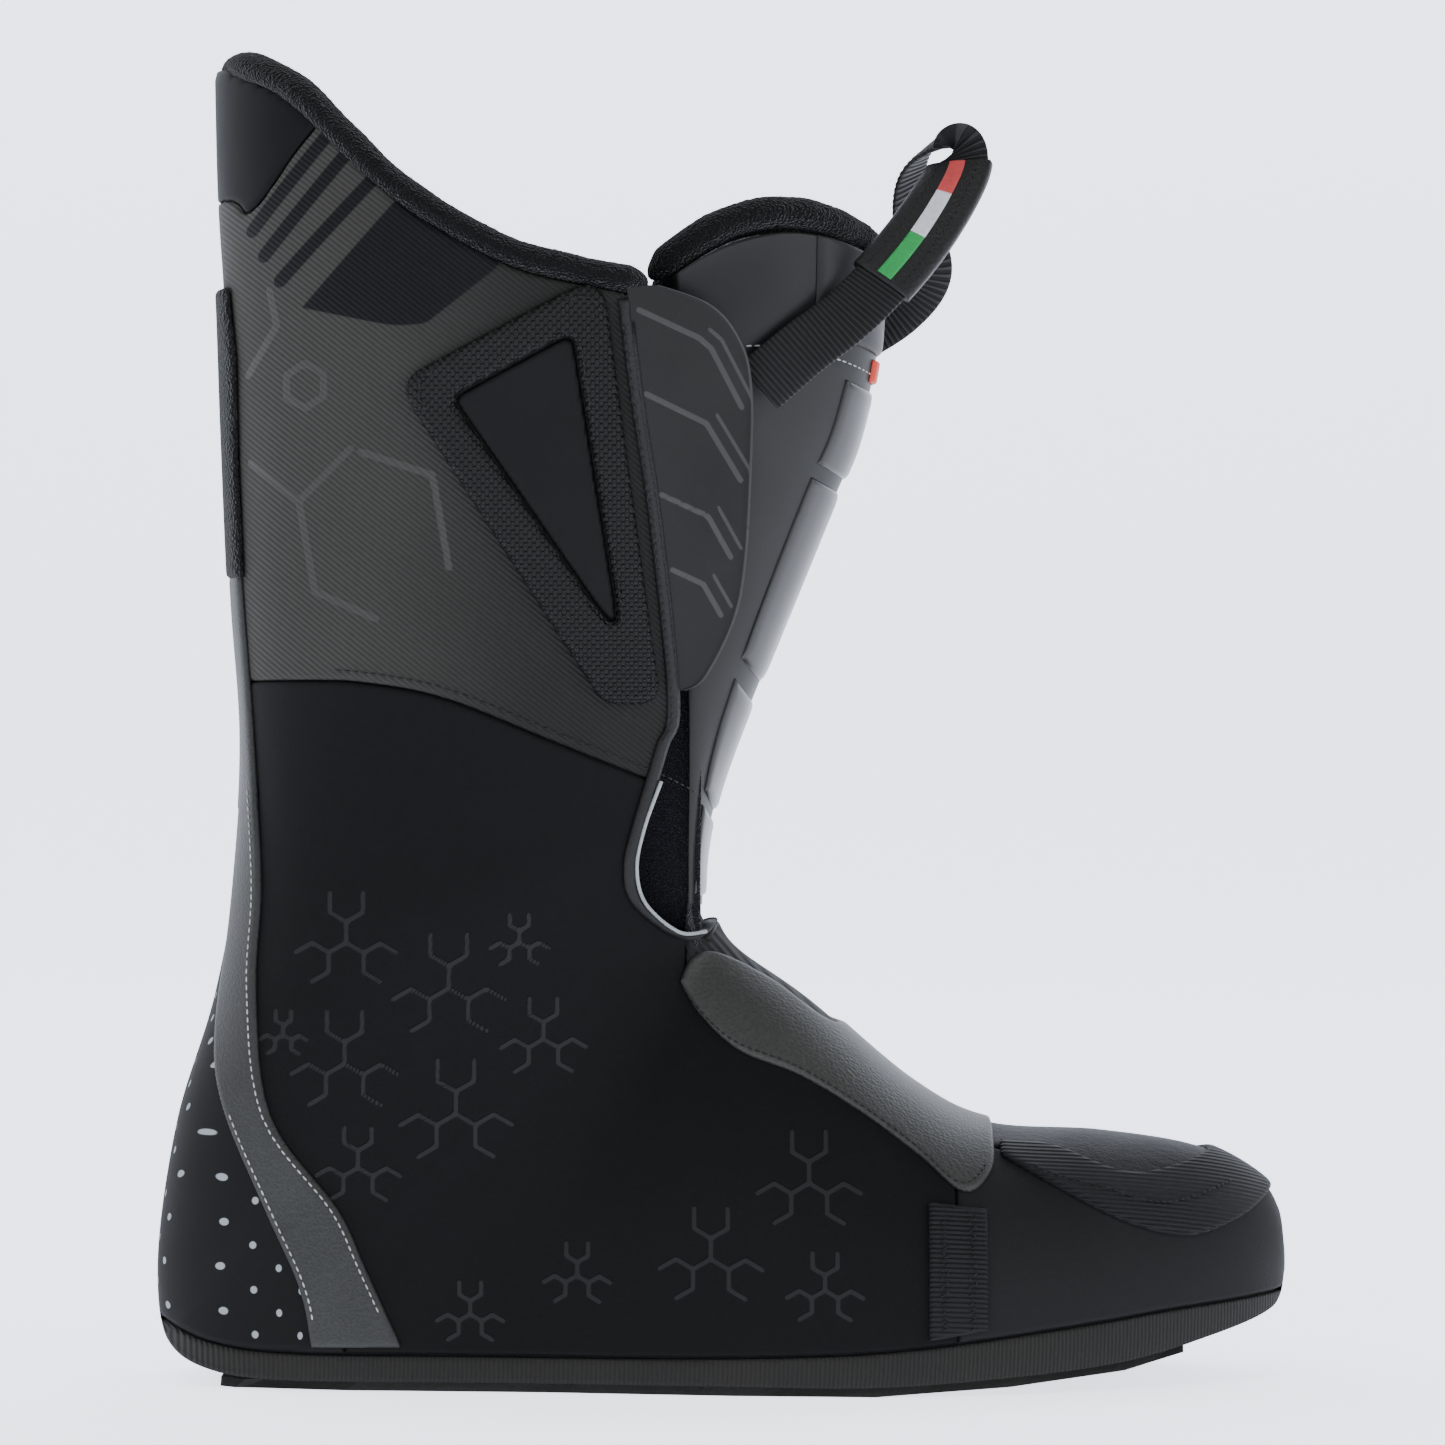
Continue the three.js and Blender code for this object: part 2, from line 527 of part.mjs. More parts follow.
// ---------------------------------------------------------------- sewn on top
const overlay = (thickness) => layer([-GAP - thickness], [-GAP]).subtract(OPENING);
const trim = overlay(OVERLAY).subtract(below(raise(RAND_LINE, GAP)));
const strapTop = [at(-160, 145), at(-160, 198)];
add("heel_strap", trim.intersect(prism([...STRAP_FRONT, ...STRAP_REAR, ...strapTop])), "leather");
add("instep_facing", trim.intersect(prism(FACING)), "leather");
add("toe_seam_tape", trim.intersect(prism([...TOE_TAPE_LOW, at(150, 66), ...[...TOE_TAPE_HIGH].reverse()])), "webbing");
add("spine_patch", overlay(SPINE_PATCH).intersect(prism(PATCH)), "plush");
const BINDING_WIDTH = 3;
const edge = FRONT_EDGE.filter((p) => p.y > at(0, 113).y && p.x < at(-8, 0).x);
const shifted = edge.map((p) => new THREE.Vector2(p.x - BINDING_WIDTH, p.y)).reverse();
const PIPING = 0.8;
for (const [name, sign] of [["right", -1], ["left", 1]]) {
  const on = (shape) => shape.intersect(HALF[name]);
  add(`vamp_seam_tape_${name}`, on(trim.intersect(prism(VAMP_TAPE))), "webbing");
  const frame = prism(rounded(BRACE, 7)).subtract(prism(rounded(BRACE_HOLE, 3)));
  add(`brace_frame_${name}`, on(overlay(BRACE_FRAME).intersect(frame)), "rubber");
  const window = prism(rounded(grow(BRACE_HOLE, -2 * GAP), 3));
  add(`brace_window_${name}`, on(overlay(BRACE_WINDOW).intersect(window)), "fabric");
  add(`edge_binding_${name}`, on(trim.intersect(prism([...edge, ...shifted]))), "webbing");
  const run = smooth([[-17, 149], [-20.3, 141], [-22.2, 131], [-20, 122], [-12, 114.6]], 3);
  const cord = run.map((p, i) => {
    const along = run[Math.min(i + 1, run.length - 1)].clone().sub(run[Math.max(i - 1, 0)]);
    const clear = new THREE.Vector2(-along.y, along.x).setLength(PIPING + 2 * GAP).add(p);
    return new THREE.Vector3(clear.x, surfaceY(p, sign) - sign * 2 * PIPING, clear.y);
  });
  const stations = cord.map((p, i) => {
    const along = cord[Math.min(i + 1, cord.length - 1)].clone().sub(cord[Math.max(i - 1, 0)]).normalize();
    const across = new THREE.Vector3(0, 1, 0).cross(along).normalize();
    return { p, across, out: along.clone().cross(across) };
  });
  add(`ankle_piping_${name}`, sweep(stations, ellipse(PIPING, PIPING, 6)), "white");
}

// ---------------------------------------------------------------- foam, stiffeners and lining
const standing = (shape) => shape.subtract(OPENING).subtract(below(raise(SOLE_LINE, BOARD_TOP + GAP)));
const FOAM_OUTSIDE = SKIN + GAP;
const pocketed = (region, low, high, share) =>
  layer([low - GAP, share], [high + GAP, share]).intersect(prism(grow(region, GAP)));
const padRegion = new THREE.EllipseCurve(
  at(ANKLE_PAD.x, 0).x, at(0, ANKLE_PAD.z).y, ANKLE_PAD.length / 2, ANKLE_PAD.height / 2,
).getPoints(20).slice(0, -1);
const padDepth = [FOAM_OUTSIDE - ANKLE_PAD.thickness, FOAM_OUTSIDE];
const counterDepth = [FOAM_OUTSIDE, FOAM_OUTSIDE + COUNTER];
const FOAM_JOIN = at(-62, 0).x; // between the pieces of the heel and of the waist
const foam = standing(layer([FOAM_OUTSIDE], [FOAM_OUTSIDE, 1]))
  .subtract(pocketed(COUNTER_REGION, ...counterDepth, 0))
  .subtract(pocketed(STIFFENER_REGION, ...counterDepth, 0))
  .subtract(pocketed(padRegion, ...padDepth, 1));
const lining = standing(layer([FOAM_OUTSIDE + GAP, 1], [INSIDE, 1]))
  .subtract(layer([SKIN], [FOAM_OUTSIDE + GAP, 1]))
  .subtract(foam);
const COUNTER_LAYER = standing(layer([counterDepth[0]], [counterDepth[1]]));
add("heel_counter", COUNTER_LAYER.intersect(prism(COUNTER_REGION)), "board");
add("spine_stiffener", COUNTER_LAYER.intersect(prism(STIFFENER_REGION)), "board");
for (const name of ["right", "left"]) {
  const pad = layer([padDepth[0], 1], [padDepth[1], 1]).intersect(prism(padRegion)).intersect(HALF[name]);
  add(`ankle_pad_${name}`, pad, "foam");
}
const split = (shape, name) => {
  const rear = shape.subtract(inFront(TOE_SEAM, -SEAM / 2));
  add(`${name}_toe`, shape.intersect(inFront(TOE_SEAM)), name);
  add(`${name}_cuff`, rear.subtract(below(raise(FOAM_LINE, SEAM))), name);
  return rear.intersect(below(FOAM_LINE));
};
const foamAnkle = split(foam, "foam");
for (const [name, side] of Object.entries(HALF)) {
  add(`foam_waist_${name}`, foamAnkle.intersect(side).intersect(inFront(FOAM_JOIN)), "foam");
  add(`foam_heel_${name}`, foamAnkle.intersect(side).subtract(inFront(FOAM_JOIN, -SEAM / 2)), "foam");
}
add("lining_ankle", split(lining, "lining"), "lining");
add("footbed", footbed.subtract(foam).subtract(lining), "lining");

// ---------------------------------------------------------------- tongue
const TONGUE_FRONT = new THREE.SplineCurve(outline([
  [-5.2, 121], [-4.6, 133], [-2.4, 145], [2, 159], [10.7, 181], [19.7, 203], [28.7, 225], [34.7, 240], [39.5, 262],
  [40.7, 284.5],
]));
const TONGUE_EDGE = new THREE.SplineCurve(outline([
  [-8.6, 121.5], [-8.6, 136], [-8.4, 158], [-8.8, 180], [-10, 203], [-11.2, 223], [-12, 240], [-12.2, 250],
  [-12.4, 262], [-12.5, 279],
]));
const TONGUE_CREST = 34.8; // how much the top edge bulges up between its corners and its middle

const tongueHalf = (w) => THREE.MathUtils.lerp(TONGUE_FOOT_HALF, TONGUE_TOP_HALF, w ** 1.1);
// The tongue's surface at height share w, turned by angle from its middle, and inset from the outside.
function tonguePoint(w, angle, inset, lift = 0) {
  const [front, edge] = [TONGUE_FRONT.getPoint(w), TONGUE_EDGE.getPoint(w)];
  const c = Math.cos(angle);
  const bulge = TONGUE_CREST * w ** 4 * (c - c * c);
  return new THREE.Vector3(
    edge.x + (front.x - edge.x - inset) * c,
    (tongueHalf(w) - inset) * Math.sin(angle),
    THREE.MathUtils.lerp(edge.y, front.y, c) + bulge + lift,
  );
}
// A sheet of the whole tongue between two insets, as far round as an angle on each side.
function tongueSheet(reach, [outer, inner], rows = 9, columns = 12) {
  const grid = (inset) =>
    Array.from({ length: rows + 1 }, (_, i) =>
      Array.from({ length: columns + 1 }, (_, j) =>
        tonguePoint(i / rows, reach * ((2 * j) / columns - 1), inset),
      ),
    );
  return sheet(grid(outer), grid(inner));
}
const SIDE = Math.PI / 2;
const PADDING_IN = TONGUE_SHELL + GAP;
const TONGUE_WALL = PADDING_IN + TONGUE_PADDING + GAP + LINING;
const COLLAR_STEPS = 20;
const COLLAR_REACH = SIDE + 0.12;
const collarAt = (i) =>
  tonguePoint(1, COLLAR_REACH * ((2 * i) / COLLAR_STEPS - 1), TONGUE_WALL / 2, COLLAR_HEIGHT / 2 + 5 * GAP);
const collarStations = Array.from({ length: COLLAR_STEPS + 1 }, (_, i) => {
  const along = collarAt(i + 0.5).sub(collarAt(i - 0.5)).normalize();
  const across = along.clone().cross(new THREE.Vector3(0, 0, 1)).normalize();
  return { p: collarAt(i), across, out: across.clone().cross(along) };
});
add("tongue_collar", sweep(collarStations, ellipse(TONGUE_COLLAR / 2, COLLAR_HEIGHT / 2, 8)), "plush");
const tongueLayer = (outer, inner) => tongueSheet(SIDE, [outer, inner]);
add("tongue_shell", tongueLayer(0, TONGUE_SHELL), "plastic");
add("tongue_padding", tongueLayer(PADDING_IN, PADDING_IN + TONGUE_PADDING), "foam");
add("tongue_lining", tongueLayer(TONGUE_WALL - LINING, TONGUE_WALL), "lining");

// What lies on the shell: a stretch of its front between two height shares, no wider than a half width.
const onShell = tongueLayer(-GAP - TONGUE_PAD, -GAP);
function frontBand([w0, w1], halfWidth, above = 0) {
  const beyond = 20;
  const line = (w) => {
    const [e, f] = [TONGUE_EDGE.getPoint(w), TONGUE_FRONT.getPoint(w)];
    return [e, f.clone().add(f.clone().sub(e).setLength(beyond))];
  };
  return onShell.intersect(prism([...line(w0), ...raise(line(w1), above).reverse()], -halfWidth, halfWidth));
}
const FRONT_PADS = [[0.03, 0.2], [0.225, 0.405], [0.43, 0.675], [0.7, 0.84]];
const PAD_HALF = 17;
FRONT_PADS.forEach((span, i) => add(`tongue_pad_${i + 1}`, frontBand(span, PAD_HALF), "gloss"));
add("loop_tag", frontBand([0.85, 0.875], 7), "red");
add("tongue_cap", frontBand([0.885, 1], 30, COLLAR_HEIGHT * 2), "plastic");

// ---------------------------------------------------------------- front flaps
const edgeX = (z) => {
  const i = FRONT_EDGE.findIndex((p) => p.y < z);
  const [a, b] = [FRONT_EDGE[i - 1], FRONT_EDGE[i]];
  return THREE.MathUtils.mapLinear(z, a.y, b.y, a.x, b.x);
};
const TONGUE_SPAN = { low: at(0, 121).y, high: at(0, 282).y };
const tongueShare = (z) => {
  const { low, high } = TONGUE_SPAN;
  return THREE.MathUtils.clamp((z - low) / (high - low), 0, 1);
};
const FLAP_FULL_REACH = (28 * LENGTH) / DRAWN.length; // where a flap has come all the way in to the tongue
const FLAP_START = 0.9; // forward of the cuff's edge, room for the seam to turn
for (const [name, sign] of [["right", -1], ["left", 1]]) {
  const columns = 4;
  const grid = (inward) =>
    FLAP_FRONT.map((tip) => {
      const x = edgeX(tip.y) + FLAP_START;
      const root = Math.abs(surfaceY(new THREE.Vector2(x - FLAP_START, tip.y), sign));
      const reach = Math.max(tip.x, x + 1) - x;
      const end = tongueHalf(tongueShare(tip.y)) + FLAP_CLEARANCE + FLAP;
      const drop = Math.max(0, root - end) * Math.min(1, reach / FLAP_FULL_REACH);
      return Array.from({ length: columns + 1 }, (_, j) => {
        const t = j / columns;
        return new THREE.Vector3(x + reach * t, sign * (root - drop * t - inward), tip.y);
      });
    });
  add(`front_flap_${name}`, sheet(grid(0), grid(FLAP)), "plastic");
}

// ---------------------------------------------------------------- pull loop
// Points along the webbing, each with the direction across its width.
const LOOP = [
  { p: [9, -36.8, 251.5], across: [-0.66, 0.1, 0.75] },
  { p: [20, -34.6, 261], across: [-0.66, 0.2, 0.72] },
  { p: [31, -31.5, 269.5], across: [-0.66, 0.3, 0.7] },
  { p: [40, -27, 278.5], across: [-0.72, 0.3, 0.64] },
  { p: [49, -20, 289.5], across: [-0.8, 0.3, 0.52] },
  { p: [56.5, -13, 301], across: [-0.82, 0.4, 0.4] },
  { p: [60.5, -7, 309.5], across: [-0.7, 0.6, 0.35] },
  { p: [59.5, -1.5, 315], across: [-0.35, 0.85, 0.35] },
  { p: [54, 2, 315.5], across: [0.05, 0.95, 0.2] },
  { p: [49, 5.5, 309.5], across: [0.35, 0.9, 0.05] },
  { p: [48, 10, 301], across: [0.5, 0.85, -0.05] },
  { p: [51, 16, 292], across: [0.62, 0.7, -0.2] },
  { p: [52, 22.5, 283.5], across: [0.66, 0.4, -0.5] },
  { p: [46, 28.5, 276], across: [0.62, 0.2, -0.7] },
  { p: [35, 32, 269], across: [0.6, -0.1, -0.75] },
  { p: [21, 34.8, 261], across: [0.66, -0.15, -0.72] },
  { p: [9, 36.8, 251.5], across: [0.66, -0.1, -0.75] },
];
const LOOP_DRAWN_HALF = 38; // the tongue's top half width that the points were drawn for
const place = ([x, y, z]) => {
  const p = at(x, z);
  return new THREE.Vector3(p.x, (y * TONGUE_TOP_HALF) / LOOP_DRAWN_HALF, p.y);
};
const loopCurve = new THREE.CatmullRomCurve3(LOOP.map(({ p }) => place(p)), false, "centripetal");
const loopAcross = new THREE.CatmullRomCurve3(LOOP.map(({ across }) => new THREE.Vector3(...across)));
const loopStation = (u) => {
  const along = loopCurve.getTangent(u);
  const turned = loopAcross.getPoint(u);
  const across = turned.addScaledVector(along, -turned.dot(along)).normalize();
  return { p: loopCurve.getPoint(u), across, out: along.clone().cross(across) };
};
const stations = (shares) => shares.map(loopStation);
const evenly = (u0, u1, steps) => Array.from({ length: steps + 1 }, (_, i) => u0 + ((u1 - u0) * i) / steps);
const LOOP_STEPS = 32;
const webbingOf = (grown) => {
  const out = WEBBING / 2 + grown;
  return sweep(stations(evenly(0, 1, LOOP_STEPS)), strapSection(WEBBING_WIDTH + 2 * grown, -out, out));
};
add("pull_webbing", webbingOf(0), "webbing");
const SLEEVE = { from: 6, to: 12 }; // in steps of the loop
const sleeveShares = evenly(SLEEVE.from / LOOP_STEPS, SLEEVE.to / LOOP_STEPS, SLEEVE.to - SLEEVE.from);
const sleeveOut = WEBBING / 2 + GAP + GRIP;
const sleeveSection = strapSection(WEBBING_WIDTH + 2 * (GAP + GRIP), -sleeveOut, sleeveOut);
add("grip_sleeve", sweep(stations(sleeveShares), sleeveSection).subtract(webbingOf(GAP)), "leather");
["green", "white", "red"].forEach((colour, i) => {
  const [first, ...rest] = sleeveShares.slice(2 * i, 2 * i + 3);
  const nick = (rest[0] - first) / 12;
  const shares = [first + nick, ...rest.slice(0, -1), rest[rest.length - 1] - nick];
  const section = strapSection(STRIPE_WIDTH, sleeveOut + GAP, sleeveOut + GAP + STRIPE);
  add(`stripe_${colour}`, sweep(stations(shares), section), colour);
});

export default group;
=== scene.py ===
"""Padded inner boot of a right alpine ski boot: its looks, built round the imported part.

Lengths inside the classes are in millimetres, in the part's frame, and become metres when a mesh is made.
"""

import logging
import math
from dataclasses import dataclass, field
from enum import Enum
from typing import Any, Callable, Sequence

import bmesh
import bpy
import numpy as np
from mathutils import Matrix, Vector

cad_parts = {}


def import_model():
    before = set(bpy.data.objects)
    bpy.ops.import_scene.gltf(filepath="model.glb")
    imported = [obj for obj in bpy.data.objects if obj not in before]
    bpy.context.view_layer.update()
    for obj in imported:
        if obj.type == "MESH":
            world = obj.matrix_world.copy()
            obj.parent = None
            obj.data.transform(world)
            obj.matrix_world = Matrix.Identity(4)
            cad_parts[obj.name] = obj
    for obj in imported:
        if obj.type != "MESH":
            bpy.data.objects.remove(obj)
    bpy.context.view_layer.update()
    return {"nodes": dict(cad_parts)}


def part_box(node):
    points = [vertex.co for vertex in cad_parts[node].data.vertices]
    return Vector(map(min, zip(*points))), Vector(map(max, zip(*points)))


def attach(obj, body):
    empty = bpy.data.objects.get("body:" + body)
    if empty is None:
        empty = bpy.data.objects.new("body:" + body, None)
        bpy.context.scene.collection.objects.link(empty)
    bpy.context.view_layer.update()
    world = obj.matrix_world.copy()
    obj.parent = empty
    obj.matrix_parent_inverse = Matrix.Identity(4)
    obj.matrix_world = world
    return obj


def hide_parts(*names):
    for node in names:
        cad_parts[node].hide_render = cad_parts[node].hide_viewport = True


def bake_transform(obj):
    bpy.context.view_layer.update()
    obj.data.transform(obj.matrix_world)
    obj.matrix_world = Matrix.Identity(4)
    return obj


Array = np.ndarray
log = logging.getLogger("liner")
MM = 0.001
OUTER, INNER = -1, 1
UNMARKED = 9.0
BUBBLE_PITCH = 2.1
BACKDROP_GLOW = 2.3


# ---------------------------------------------------------------- shader maths
class Wire:
    """A shader value that works in plain arithmetic: each operator adds its Math node."""

    def __init__(self, bench: "Bench", socket: bpy.types.NodeSocket) -> None:
        """Keeps the socket and the bench that new nodes go on."""
        self.bench = bench
        self.socket = socket

    def maths(self, operation: str, *values: Any) -> "Wire":
        """Adds a Math node.

        Args:
            operation: the node's operation.
            values: its inputs in order, wires or numbers.
        Returns:
            The result as a wire.
        """
        inputs = dict(enumerate(values))
        return self.bench.node("ShaderNodeMath", {"operation": operation}, inputs)

    def __add__(self, other: Any) -> "Wire":
        """self + other."""
        return self.maths("ADD", self, other)

    def __radd__(self, other: Any) -> "Wire":
        """other + self."""
        return self.maths("ADD", other, self)

    def __sub__(self, other: Any) -> "Wire":
        """self - other."""
        return self.maths("SUBTRACT", self, other)

    def __rsub__(self, other: Any) -> "Wire":
        """other - self."""
        return self.maths("SUBTRACT", other, self)

    def __mul__(self, other: Any) -> "Wire":
        """self * other."""
        return self.maths("MULTIPLY", self, other)

    def __rmul__(self, other: Any) -> "Wire":
        """other * self."""
        return self.maths("MULTIPLY", other, self)

    def __truediv__(self, other: Any) -> "Wire":
        """self / other."""
        return self.maths("DIVIDE", self, other)

    def sine(self) -> "Wire":
        """The sine of the value."""
        return self.maths("SINE", self)

    def fraction(self) -> "Wire":
        """What is left above the whole number below."""
        return self.maths("FRACT", self)

    def floor(self) -> "Wire":
        """The whole number below."""
        return self.maths("FLOOR", self)

    def size(self) -> "Wire":
        """The value without its sign."""
        return self.maths("ABSOLUTE", self)

    def ramp(self, low: float, high: float) -> "Wire":
        """A smooth step from 0 at low to 1 at high."""
        settings = {"interpolation_type": "SMOOTHSTEP"}
        inputs = {"Value": self, "From Min": min(low, high), "From Max": max(low, high)}
        step = self.bench.node("ShaderNodeMapRange", settings, inputs)
        return step if low < high else 1 - step


class Bench:
    """The node tree of one material, with one method that makes any node."""

    def __init__(self, name: str) -> None:
        """Starts a material with a Principled shader and its output."""
        self.material = bpy.data.materials.new(name)
        self.material.use_nodes = True
        self.tree = self.material.node_tree
        self.shader = self.tree.nodes["Principled BSDF"]

    def node(self, kind: str, settings: dict[str, Any], inputs: dict[Any, Any], out: Any = 0) -> Wire:
        """Adds a node.

        Args:
            kind: the node's type.
            settings: its properties, or "stops" for a ramp's places and colours.
            inputs: its sockets' values or wires.
            out: the output wanted.
        Returns:
            That output as a wire.
        """
        made = self.tree.nodes.new(kind)
        for key, value in settings.items():
            setattr(made, key, value)
        for key, value in inputs.items():
            self.join(made.inputs[key], value)
        return Wire(self, made.outputs[out])

    def join(self, socket: bpy.types.NodeSocket, value: Any) -> None:
        """Links a wire to a socket, or sets the socket's own value."""
        if isinstance(value, Wire):
            self.tree.links.new(value.socket, socket)
        else:
            socket.default_value = value

    def place(self) -> Wire:
        """Object coordinates in metres."""
        return self.node("ShaderNodeTexCoord", {}, {}, "Object")

    def axes(self, vector: Wire) -> tuple[Wire, Wire, Wire]:
        """The three parts of a vector."""
        split = self.node("ShaderNodeSeparateXYZ", {}, {"Vector": vector}, "X")
        outputs = split.socket.node.outputs
        return split, Wire(self, outputs["Y"]), Wire(self, outputs["Z"])

    def mark(self, name: str) -> Wire:
        """The piece's own attribute of that name."""
        return self.node("ShaderNodeAttribute", {"attribute_name": name}, {}, "Fac")

    def noise(self, vector: Wire, scale: float, detail: float = 2.0) -> Wire:
        """Smooth noise from 0 to 1, with scale in bumps per metre."""
        return self.node("ShaderNodeTexNoise", {}, {"Vector": vector, "Scale": scale, "Detail": detail})

    def cells(self, vector: Wire, scale: float) -> Wire:
        """Distance to the middle of the nearest cell of a Voronoi pattern."""
        return self.node("ShaderNodeTexVoronoi", {}, {"Vector": vector, "Scale": scale}, "Distance")

    def mix(self, share: Any, first: Any, second: Any) -> Wire:
        """A colour between two colours, the second at share 1."""
        return self.node("ShaderNodeMix", {"data_type": "RGBA"}, {0: share, 6: first, 7: second}, 2)

    def bump(self, height: Wire, depth: float, strength: float = 1.0) -> Wire:
        """A normal bent by a height from 0 to 1 that stands for depth in metres."""
        return self.node("ShaderNodeBump", {}, {"Height": height, "Distance": depth, "Strength": strength})


Colour = tuple[float, float, float]


def edge_walls(rows: int, columns: int) -> Array:
    """Faces that join the edge of one grid of corners to the edge of a second one numbered after it."""
    n = rows * columns
    rim = np.concatenate([
        np.arange(columns), np.arange(2 * columns - 1, n, columns), np.arange(n - 2, n - columns - 1, -1),
        np.arange(n - 2 * columns, 0, -columns),
    ])
    after = np.roll(rim, -1)
    return np.stack([rim, after, after + n, rim + n], 1)


def shade(colour: Colour, share: float = 1.0) -> tuple[float, float, float, float]:
    """A colour made darker or lighter by a share, with full alpha."""
    return (colour[0] * share, colour[1] * share, colour[2] * share, 1.0)


class Surface(Enum):
    """What a finish's fine surface looks like."""

    KNIT = "knit"
    TWILL = "twill"
    PILE = "pile"
    LEATHER = "leather"
    RUBBER = "rubber"
    RIBS = "ribs"
    FOAM = "foam"
    SMOOTH = "smooth"
    BUBBLES = "bubbles"
    DOTS = "dots"
    BOARD = "board"
    PLAIN = "plain"


@dataclass(frozen=True)
class Finish:
    """One material: its colour, gloss and fine surface, and what an attribute called mark does to it."""

    name: str
    colour: Colour
    surface: Surface
    roughness: float = 0.85
    grain: float = 1.0
    sheen: float = 0.0
    marked: Colour | None = None
    mark_rise: float = 0.0
    along: tuple[float, float, float] = (0.0, 0.0, 1.0)
    pitch: float = 1.0
    rear: Colour | None = None
    printed: Colour | None = None
    gleam: float = 0.3

    def height(self, bench: Bench, spot: Wire) -> tuple[Wire, float]:
        """The fine relief.

        Args:
            bench: where the nodes go.
            spot: object coordinates in metres.
        Returns:
            A height from 0 to 1, and the depth in metres that it stands for.
        """
        x, y, z = bench.axes(spot)
        run = x * (self.along[0] * 1000 / self.pitch) + y * (self.along[1] * 1000 / self.pitch)
        run = run + z * (self.along[2] * 1000 / self.pitch)
        wave = (run * (2 * math.pi)).sine() * 0.5 + 0.5
        fine = bench.noise(spot, 2600.0 * self.grain, 3.0)
        if self.surface is Surface.TWILL:
            return wave * 0.75 + fine * 0.4, 0.00022
        if self.surface is Surface.RIBS:
            return wave * 0.85 + fine * 0.25, 0.00045
        if self.surface is Surface.PILE:
            tufts = bench.cells(spot, 1500.0 * self.grain)
            return tufts * 0.8 + bench.noise(spot, 700.0, 4.0) * 0.8, 0.0011
        if self.surface is Surface.LEATHER:
            return bench.cells(spot, 1300.0 * self.grain) * 0.6 + fine * 0.3, 0.00018
        if self.surface is Surface.RUBBER:
            return fine * 0.5 + bench.noise(spot, 450.0, 4.0) * 0.7, 0.0004
        if self.surface is Surface.BUBBLES:
            turn = 2 * math.pi / (BUBBLE_PITCH * MM)
            return ((x * turn).sine() * (z * turn).sine()).ramp(-0.35, 0.75) + fine * 0.05, 0.0009
        if self.surface is Surface.SMOOTH:
            return fine * 0.5 + bench.noise(spot, 60.0, 2.0) * 0.5, 0.00006
        return fine * 0.6 + bench.noise(spot, 900.0, 3.0) * 0.5, 0.00016

    def dots(self, bench: Bench, spot: Wire) -> Wire:
        """A staggered grid of small upright ovals, 1 inside an oval and 0 outside."""
        x, y, z = bench.axes(spot)
        across, up = 8.6, 5.6
        row = z * (1000 / up)
        shift = (row.floor() * 0.5).fraction()
        side = (((x - y.size()) * (1000 / across) + shift).fraction() - 0.5) * (across / 0.55)
        rise = (row.fraction() - 0.5) * (up / 0.95)
        return (side * side + rise * rise).ramp(1.25, 0.75)

    def make(self) -> bpy.types.Material:
        """Builds the material once and returns it each time."""
        ready = bpy.data.materials.get(self.name)
        if ready:
            return ready
        bench = Bench(self.name)
        if self.surface is Surface.PLAIN:
            bench.join(bench.shader.inputs["Base Color"], shade(self.colour))
            bench.join(bench.shader.inputs["Roughness"], self.roughness)
            bench.join(bench.shader.inputs["Emission Color"], shade(self.colour))
            bench.join(bench.shader.inputs["Emission Strength"], BACKDROP_GLOW)
            return bench.material
        spot = bench.place()
        height, depth = self.height(bench, spot)
        blotch = bench.noise(spot, 38.0, 3.0)
        base: Any = bench.mix(blotch.ramp(0.3, 0.7), shade(self.colour, 0.86), shade(self.colour, 1.14))
        if self.rear:
            x, _, _ = bench.axes(spot)
            base = bench.mix((x + blotch * 0.02).ramp(-0.09, -0.03), shade(self.rear), base)
        # Painted shade: the colour is darkened by the fine relief's height, most in its low parts (down to 55%), as
        # if its hollows were shaded.
        base = bench.mix(height.ramp(0.15, 0.75) * 0.55, bench.mix(0.45, base, shade((0.0, 0.0, 0.0))), base)
        rough: Any = self.roughness + (blotch - 0.5) * 0.16
        if self.surface is Surface.DOTS:
            spotted = self.dots(bench, spot)
            base = bench.mix(spotted, base, shade(self.marked or self.colour))
            height = height * 0.4 + spotted * 0.6
        elif self.marked:
            share = bench.mark("mark").ramp(0.1, -0.25)
            base = bench.mix(share, base, shade(self.marked))
            rough = rough - share * (0.22 if self.mark_rise else 0.1)
            if self.mark_rise:
                height = height * (1 - share * 0.5) + share * (self.mark_rise / (depth * 1000))
        if self.printed:
            base = bench.mix(bench.mark("print").ramp(0.2, -0.2), base, shade(self.printed))
        bench.join(bench.shader.inputs["Base Color"], base)
        bench.join(bench.shader.inputs["Roughness"], rough)
        bench.join(bench.shader.inputs["Normal"], bench.bump(height, depth))
        bench.join(bench.shader.inputs["Sheen Weight"], self.sheen)
        bench.join(bench.shader.inputs["Sheen Roughness"], 0.4)
        bench.join(bench.shader.inputs["Specular IOR Level"], self.gleam)
        return bench.material


